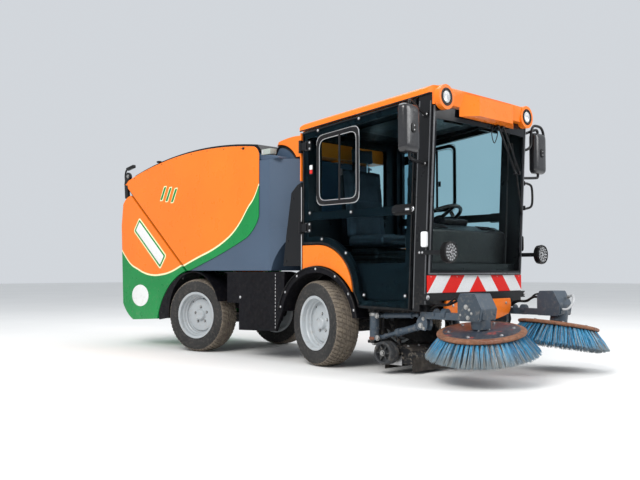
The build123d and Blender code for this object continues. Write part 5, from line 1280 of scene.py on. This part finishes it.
wheel = Shape()
turn = facing(STEERING, axis)
rim_line = [turn @ polar(STEERING_RADIUS, a) for a in (2 * math.pi * k / 48 for k in range(48))]
wheel.tube(rim_line, 14, "trim", steps=1, closed=True, segments=14)
wheel.lathe([(-22, 40), (2, 46), (12, 40), (16, 26), (17, 0.01)], "plastic", turn, 32)
for a in (90, 210, 330):
    out = turn.to_3x3() @ polar(1, math.radians(a))
    wheel.rod(STEERING + out * 36 - axis * 6, STEERING + out * (STEERING_RADIUS - 8), 15, "trim", 12, radius_end=9)
wheel.rod(turn @ Vector((-STEERING_RADIUS, 20, 8)), turn @ Vector((-STEERING_RADIUS, 20, 62)), 15, "trim", 16)
wheel.finish("steering_wheel", "chassis", ["cab_interior"], slot="cab_black")


# Bolts of the bar, the front panel and the board
front = Shape()
for y in (-600, 600):
    front.bolt((CAB_FRONT + 22, y, 546), (1, 0, 0), 12, "steel", 7)
for y in (-330, 330):
    front.bolt((CAB_FRONT + 30, y, 486), (1, 0, 0), 8, "steel", 5)
for y in (-545, -250, 250, 545):
    front.bolt((CAB_FRONT + 8, y, 682), (1, 0, 0), 4, "steel", 2, washer=False, sides=12)
front.finish("board_bolts", "chassis", slot="steel")


# Hopper fittings
hopper = Shape()
SLATE_TOP = 1632
hood_edge = [(935, SLATE_TOP), (938, 1690), (978, 1750), (1040, 1748), (1108, 1716), (1160, 1672), (1192, SLATE_TOP)]
hopper.tube([(x, 424, z) for x, z in hood_edge], 9, "rubber", steps=4)
hopper.tube([(912, 150, 1640), (912, 572, 1640)], 6, "rubber", steps=1)
hopper.prism(softened([(700, 1744), (722, 1744), (726, 1762), (696, 1762)], 4), 566, 596, "trim")
hopper.block((-604, -564), (560, 594), (1758, 1776), "trim", 5)
for x in (-1000, -760, -520, -280, -40, 200, 440, 680):
    centre_z = 1803 - 0.000108 * (x - 150) ** 2 - 17
    hopper.bolt((x, 590, centre_z), (0, 1, 0), 5, "frame_black", 3, washer=False, sides=12)
hopper.prism(softened([(-1196, 1588), (-1150, 1598), (-1080, 1660), (-1098, 1700), (-1138, 1716), (-1172, 1686)], 12),
             566, 592, "trim", edge=4)
hopper.bolt((-1120, 592, 1672), (0, 1, 0), 15, "cast", 8)
hopper.prism(softened([(-1192, 1596), (-1128, 1580), (-1118, 1470), (-1176, 1448)], 10), 566, 592, "trim", edge=4)
hopper.tube([(-1176, 580, 1600), (-1192, 580, 1680), (-1172, 580, 1738), (-1120, 580, 1750)], 9, "trim", steps=5)
hopper.prism(softened([(-1150, 1730), (-1016, 1752), (-1020, 1782), (-1154, 1760)], 8), 566, 598, "trim", edge=5)
hopper.prism(softened([(913, 1632), (1128, 1632), (1120, 1650), (1040, 1668), (913, 1675)], 5), 0.5, 571, "slate",
             edge=4)
hopper.mirrored()
hopper.block((920, 1034), (-572, -500), (1676, 1724), "pale", 9)
hopper.block((934, 950), (-575, -566), (1684, 1716), "seal", 2)
hopper.finish("hopper_fittings", "hopper", slot="lid_black")


# Plain bars and a blank panel on the photographed side
art = Shape()
for x, z in ((-500, 1455), (-410, 1440), (-320, 1425)):
    for grow, low, high, material in ((0, 589, 590.6, "cream"), (9, 590, 591.3, "green")):
        bar = [(x - 48 + grow, z - 70 + grow), (x + 2 - grow, z - 70 + grow), (x + 72 - grow, z + 70 - grow),
               (x + 22 + grow, z + 70 - grow)]
        art.prism(softened(bar, 12), -low, -high, material, edge=0.3)
art.finish("side_motif", "hopper", slot="body_green")


def slanted(inset):
    """Corners of the blank panel on the tail, along the seam, drawn in by a margin."""
    turn = math.radians(-38.5)
    points = []
    for a, b in ((-1, -1), (1, -1), (1, 1), (-1, 1)):
        along, off = a * (306 - inset), b * (84 - inset)
        points.append((-718 + along * math.cos(turn) - off * math.sin(turn),
                       992 + along * math.sin(turn) + off * math.cos(turn)))
    return points


panel = Shape()
for inset, radius, low, high, material in ((0, 26, 589, 590.8, "cream"), (14, 18, 590, 591.4, "green"),
                                           (32, 12, 590.5, 592, "white")):
    panel.prism(softened(slanted(inset), radius), -low, -high, material, edge=0.3)
panel.finish("blank_panel", "chassis", slot="body_green")


# Skirts, fenders, gussets and tail
skirts = Shape()
for k in range(16):
    z = 262 + 28 * k
    skirts.block((1103, 1108), (574.5, 576.5), (z, z + 17), "seal", 0.6)
skirts.bolt((658, 575, 502), (0, 1, 0), 9, "steel", 4.5, sides=18)
for x, z in ring_points(FRONT_HUB, 412, (16, 34, 60, 90, 120, 146, 164)):
    skirts.bolt((x, 608, z), (0, 1, 0), 7, "steel", 4, sides=18)
for x, z in ring_points((16, 120), 560, (108, 124, 142, 158)):
    skirts.bolt((x, 588, z), (0, 1, 0), 6.5, "frame_black", 4, sides=18)
for x, z in ((1392, 1380), (1322, 1290), (1262, 960), (1240, 800), (1396, 800), (1396, 1080)):
    skirts.bolt((x, 582, z), (0, 1, 0), 6.5, "frame_black", 4)
skirts.tube([(x, 613, z) for x, z in ring_points(FRONT_HUB, 428, range(8, 169, 8))], 5, "rubber", steps=1)
skirts.mirrored()
skirts.finish("side_fixings", "chassis", slot="steel")

TAIL_SLOPE = (1238 - 1194) / (1180 - 400)


def tail_x(z, out):
    """Outer face of the rear wall at a height."""
    return -1194 - TAIL_SLOPE * (z - 400) - out


tail = Shape()
for low, high, material in ((640, 716, "red_lens"), (720, 776, "amber"), (780, 836, "white_lens")):
    x = tail_x((low + high) / 2, 0)
    tail.block((x - 13, x + 6), (474, 556), (low, high), material, 6)
tail.block((tail_x(738, 0) - 6, tail_x(738, 0) + 8), (466, 564), (630, 846), "trim", 4)
for z in (470, 1330):
    x = tail_x(min(z, 1180), 0) + (0 if z < 1180 else 18)
    for y in (180, 540):
        tail.bolt((x, y, z), (-1, 0, 0), 9, "steel", 5)
tail.mirrored()
disc = [(-877 + (x + 877) * 1.4, z) for x, z in ring_points((-877, 483), 105, range(0, 360, 8))]
tail.prism(disc, -590, -591.6, "white", edge=0.5)
tail.finish("tail_fittings", "chassis", slot="body_green")


# Suction head: support wheels, flaps and brackets
def support_wheel(name, side):
    low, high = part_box("support_wheel_" + name)
    shape = Shape(facing((Vector(low) + Vector(high)) / 2, (0, side, 0)) @ MILLIMETRES)
    shape.lathe([(-44, 62), (-46, 70), (-42, 79), (-34, 82), (-12, 82), (-10, 79), (10, 79), (12, 82), (34, 82),
                 (42, 79), (46, 70), (44, 62),
                 (40, 60), (20, 58), (16, 30), (20, 27), (38, 26), (42, 24), (42, 15), (-42, 15), (-42, 24),
                 (-38, 26), (-20, 27), (-16, 30),
                 (-20, 58), (-40, 60)], "support", segments=56, closed=True)
    for k in range(6):
        a = math.radians(60 * k)
        turn = Matrix.Rotation(a, 4, "Z")
        shape.block((24, 61), (-5, 5), (14, 36), "support", 2, turn)
    shape.bolt((0, 0, 42), (0, 0, 1), 15, "cast", 12)
    shape.finish("support_wheel_dressed_" + name, "support_" + name, ["support_wheel_" + name], slot="support_rubber")


for side_name, side in SIDES:
    support_wheel(side_name, side)

mouth = Shape()
mouth.prism(softened([(2316, 168), (2400, 138), (2404, 178), (2330, 206)], 8), 300, 462, "flap", edge=3)
for y in (320, 440):
    mouth.bolt((2360, y, 196), (0.35, 0, 1), 7, "steel", 5)
mouth.block((2418, 2424), (40, 466), (22, 120), "flap", 1.5)
mouth.block((2166, 2172), (40, 466), (26, 110), "flap", 1.5)
mouth.block((2168, 2330), (468, 476), (60, 130), "steel", 2)
mouth.block((2210, 2290), (472, 486), (118, 182), "cast", 4)
mouth.bolt((2226, 486, 166), (0, 1, 0), 7, "steel", 5)
mouth.mirrored()
mouth.finish("suction_fittings", "chassis", slot="frame_black")


# Arm castings, motor covers and hoses
ARM_PIN = (2145, 245)
ELBOW = (2535, 352)
STRUT_PIN = (2140, 402)
STRUT_EYE = (2505, 420)
POST = (2090, 490)
COVER = [(2880, 400), (3050, 400), (3062, 480), (3010, 578), (2900, 578), (2880, 540)]


def between(start, end, share, y):
    return Vector((start[0] + (end[0] - start[0]) * share, y, start[1] + (end[1] - start[1]) * share))


def collar(shape, start, end, share, y, radius, length, material):
    """Ring round a tube, with rounded shoulders."""
    middle = between(start, end, share, y)
    along = (between(start, end, 1, y) - between(start, end, 0, y)).normalized()
    shape.rod(middle - along * length / 2, middle + along * length / 2, radius, material, 28, edge=3)


def arm_details(name, side):
    y = side * POST[1]
    out = (0, side, 0)
    arm = Shape()
    for share, radius, length, material in ((0.14, 19, 16, "arm"), (0.44, 29, 34, "arm"), (0.53, 27, 10, "arm"),
                                            (0.86, 28, 22, "arm")):
        collar(arm, ARM_PIN, ELBOW, share, y, radius, length, material)
    arm.prism(softened([(2502, 328), (2578, 316), (2592, 356), (2580, 416), (2526, 418), (2498, 382)], 12),
              side * 515, side * 521, "arm", edge=2)
    for x, z, radius in ((2535, 352, 14), (2556, 398, 10), (2560, 334, 8)):
        arm.bolt((x, side * 521, z), out, radius, "cast", radius * 0.6)
    arm.rod((2700, y, 434), (2740, y, 434), 38, "arm", 28, edge=3)
    arm.rod((2640, y, 434), (2652, y, 434), 36, "arm", 28, edge=3)
    plate = softened(shrunk(COVER, 0.93), 16)
    arm.prism(plate, side * 577, side * 583, "cover_plate", edge=2)
    for x, z, radius in ((2948, 492, 12), (2972, 474, 7), (2990, 452, 7), (2962, 424, 11), (2905, 440, 6)):
        arm.bolt((x, side * 583, z), out, radius, "cast", radius * 0.5)
    arm.prism([(y + a, b) for a, b in ((-72, 412), (72, 412), (72, 474), (-72, 474))], 3052, 3062, "cover_plate",
              axis="X", edge=2)
    for a in (-58, 58):
        arm.bolt((3062, y + a, 443), (1, 0, 0), 5.5, "arm", 4)
    arm.tube([(2884, y - side * 30, 524), (2820, y - side * 24, 530), (2740, y - side * 8, 498),
              (2660, y - side * 6, 494),
              (2600, y - side * 10, 462), (2556, y - side * 16, 412)], 9, "rubber")
    arm.tube([(2884, y + side * 4, 550), (2812, y + side * 8, 548), (2740, y + side * 16, 496),
              (2660, y + side * 16, 490),
              (2600, y + side * 12, 458), (2560, y + side * 6, 408)], 7, "rubber")
    if side > 0:
        arm.tube([(3052, y + 40, 530), (3098, y + 30, 546), (3120, y - 8, 500), (3100, y - 40, 452),
                  (3056, y - 52, 446)], 8.5, "hose_pale")
        arm.rod((3048, y + 42, 528), (3072, y + 38, 538), 12, "cast", 6)
    arm.finish("arm_dressing_" + name, "boom_" + name, slot="arm_blue")
    strut = Shape()
    length = math.dist(STRUT_PIN, STRUT_EYE)
    for distance, radius, ring in ((64, 23, 16), (110, 21, 8), (296, 23, 18), (length - 16, 17, 26)):
        collar(strut, STRUT_PIN, STRUT_EYE, distance / length, y, radius, ring, "arm")
    strut.finish("strut_collars_" + name, "link_" + name, slot="arm_blue")
    post = Shape()
    x = POST[0]
    post.rod((x, y, 398), (x, y, 424), 40, "cast", 32, edge=4)
    post.rod((x, y, 228), (x, y, 250), 39, "rust", 32, edge=4)
    post.rod((x, y, 300), (x, y, 312), 37, "arm", 32, edge=3)
    for px, pz in (ARM_PIN, STRUT_PIN):
        post.bolt((px, y + side * 30, pz), out, 15, "cast", 8)
        post.bolt((px, y - side * 30, pz), (0, -side, 0), 13, "cast", 7)
    post.finish("post_castings_" + name, "swing_" + name, slot="arm_blue")


for side_name, side in SIDES:
    arm_details(side_name, side)

pins = Shape()
pins.bolt((POST[0], POST[1], 472), (0, 0, 1), 19, "cast", 13)
pins.bolt((POST[0], POST[1], 205), (0, 0, -1), 19, "cast", 12)
pins.mirrored()
pins.finish("post_pins", "chassis", slot="steel")


# Softened edges on the solids that stay in view
WELD_GAP = 0.00005
FLAT_ANGLE = 0.4
EDGE_ANGLE = 28


def soften(node, width):
    item = frame["nodes"][node]
    weld = item.modifiers.new("weld", "WELD")
    weld.merge_threshold = WELD_GAP
    flat = item.modifiers.new("flat", "DECIMATE")
    flat.decimate_type = "DISSOLVE"
    flat.angle_limit = math.radians(FLAT_ANGLE)
    edge = item.modifiers.new("edge", "BEVEL")
    edge.width = width / 1000
    edge.segments = 2
    edge.limit_method = "ANGLE"
    edge.angle_limit = math.radians(EDGE_ANGLE)
    edge.use_clamp_overlap = True
    even = item.modifiers.new("even", "WEIGHTED_NORMAL")
    even.keep_sharp = False
    even.weight = 60


for node_name, width in (
    ("rear_body", 5), ("hopper_side_panels", 3), ("hopper_shell", 3), ("hopper_lid", 4), ("hopper_hood", 8),
    ("cab_roof", 7), ("cab_shell", 3), ("cab_trim", 3), ("side_skirts", 3), ("fenders", 3), ("gussets", 3),
    ("chassis_frame", 3), ("suction_head", 3), ("brush_arm_right", 3), ("brush_arm_left", 3), ("axles", 3),
):
    soften(node_name, width)


# Floor, backdrop and soft studio light
def stage_plane(name, corners, material):
    mesh = bpy.data.meshes.new(name)
    mesh.from_pydata(corners, [], [tuple(range(len(corners)))])
    plane = added(name, mesh)
    plane.data.materials.append(material)


def floor_material():
    s = Shade("floor", roughness=0.9, specular=0.2)
    s.colour(s.mix(s.span(s.noise(0.6), 0.3, 0.7), (0.80, 0.80, 0.79), (0.84, 0.84, 0.83)))
    return s.material


FLOOR_HALF = 40.0
stage_plane(
    "floor",
    [(-FLOOR_HALF, -FLOOR_HALF, 0), (FLOOR_HALF, -FLOOR_HALF, 0), (FLOOR_HALF, FLOOR_HALF, 0),
     (-FLOOR_HALF, FLOOR_HALF, 0)],
    floor_material(),
)

world = bpy.data.worlds.new("world")
bpy.context.scene.world = world
world.use_nodes = True
background = world.node_tree.nodes["Background"]
background.inputs["Color"].default_value = (0.86, 0.90, 0.95, 1.0)
background.inputs["Strength"].default_value = 0.75


def area_light(name, where, target, size, power, colour=(1, 1, 1)):
    data = bpy.data.lights.new(name, "AREA")
    data.shape = "RECTANGLE"
    data.size, data.size_y = size
    data.energy = power
    data.color = colour
    aimed(added(name, data), where, Vector(target) - Vector(where))


area_light("key", (2.5, -7.0, 6.5), (0, 0, 0.9), (5, 4), 620, (1.0, 0.98, 0.95))
area_light("fill", (7.0, 3.0, 4.5), (0, 0, 1.0), (4, 4), 260)
area_light("top", (-1.0, 1.0, 7.5), (0, 0, 0), (6, 5), 260)

bpy.context.scene.view_settings.view_transform = "Standard"
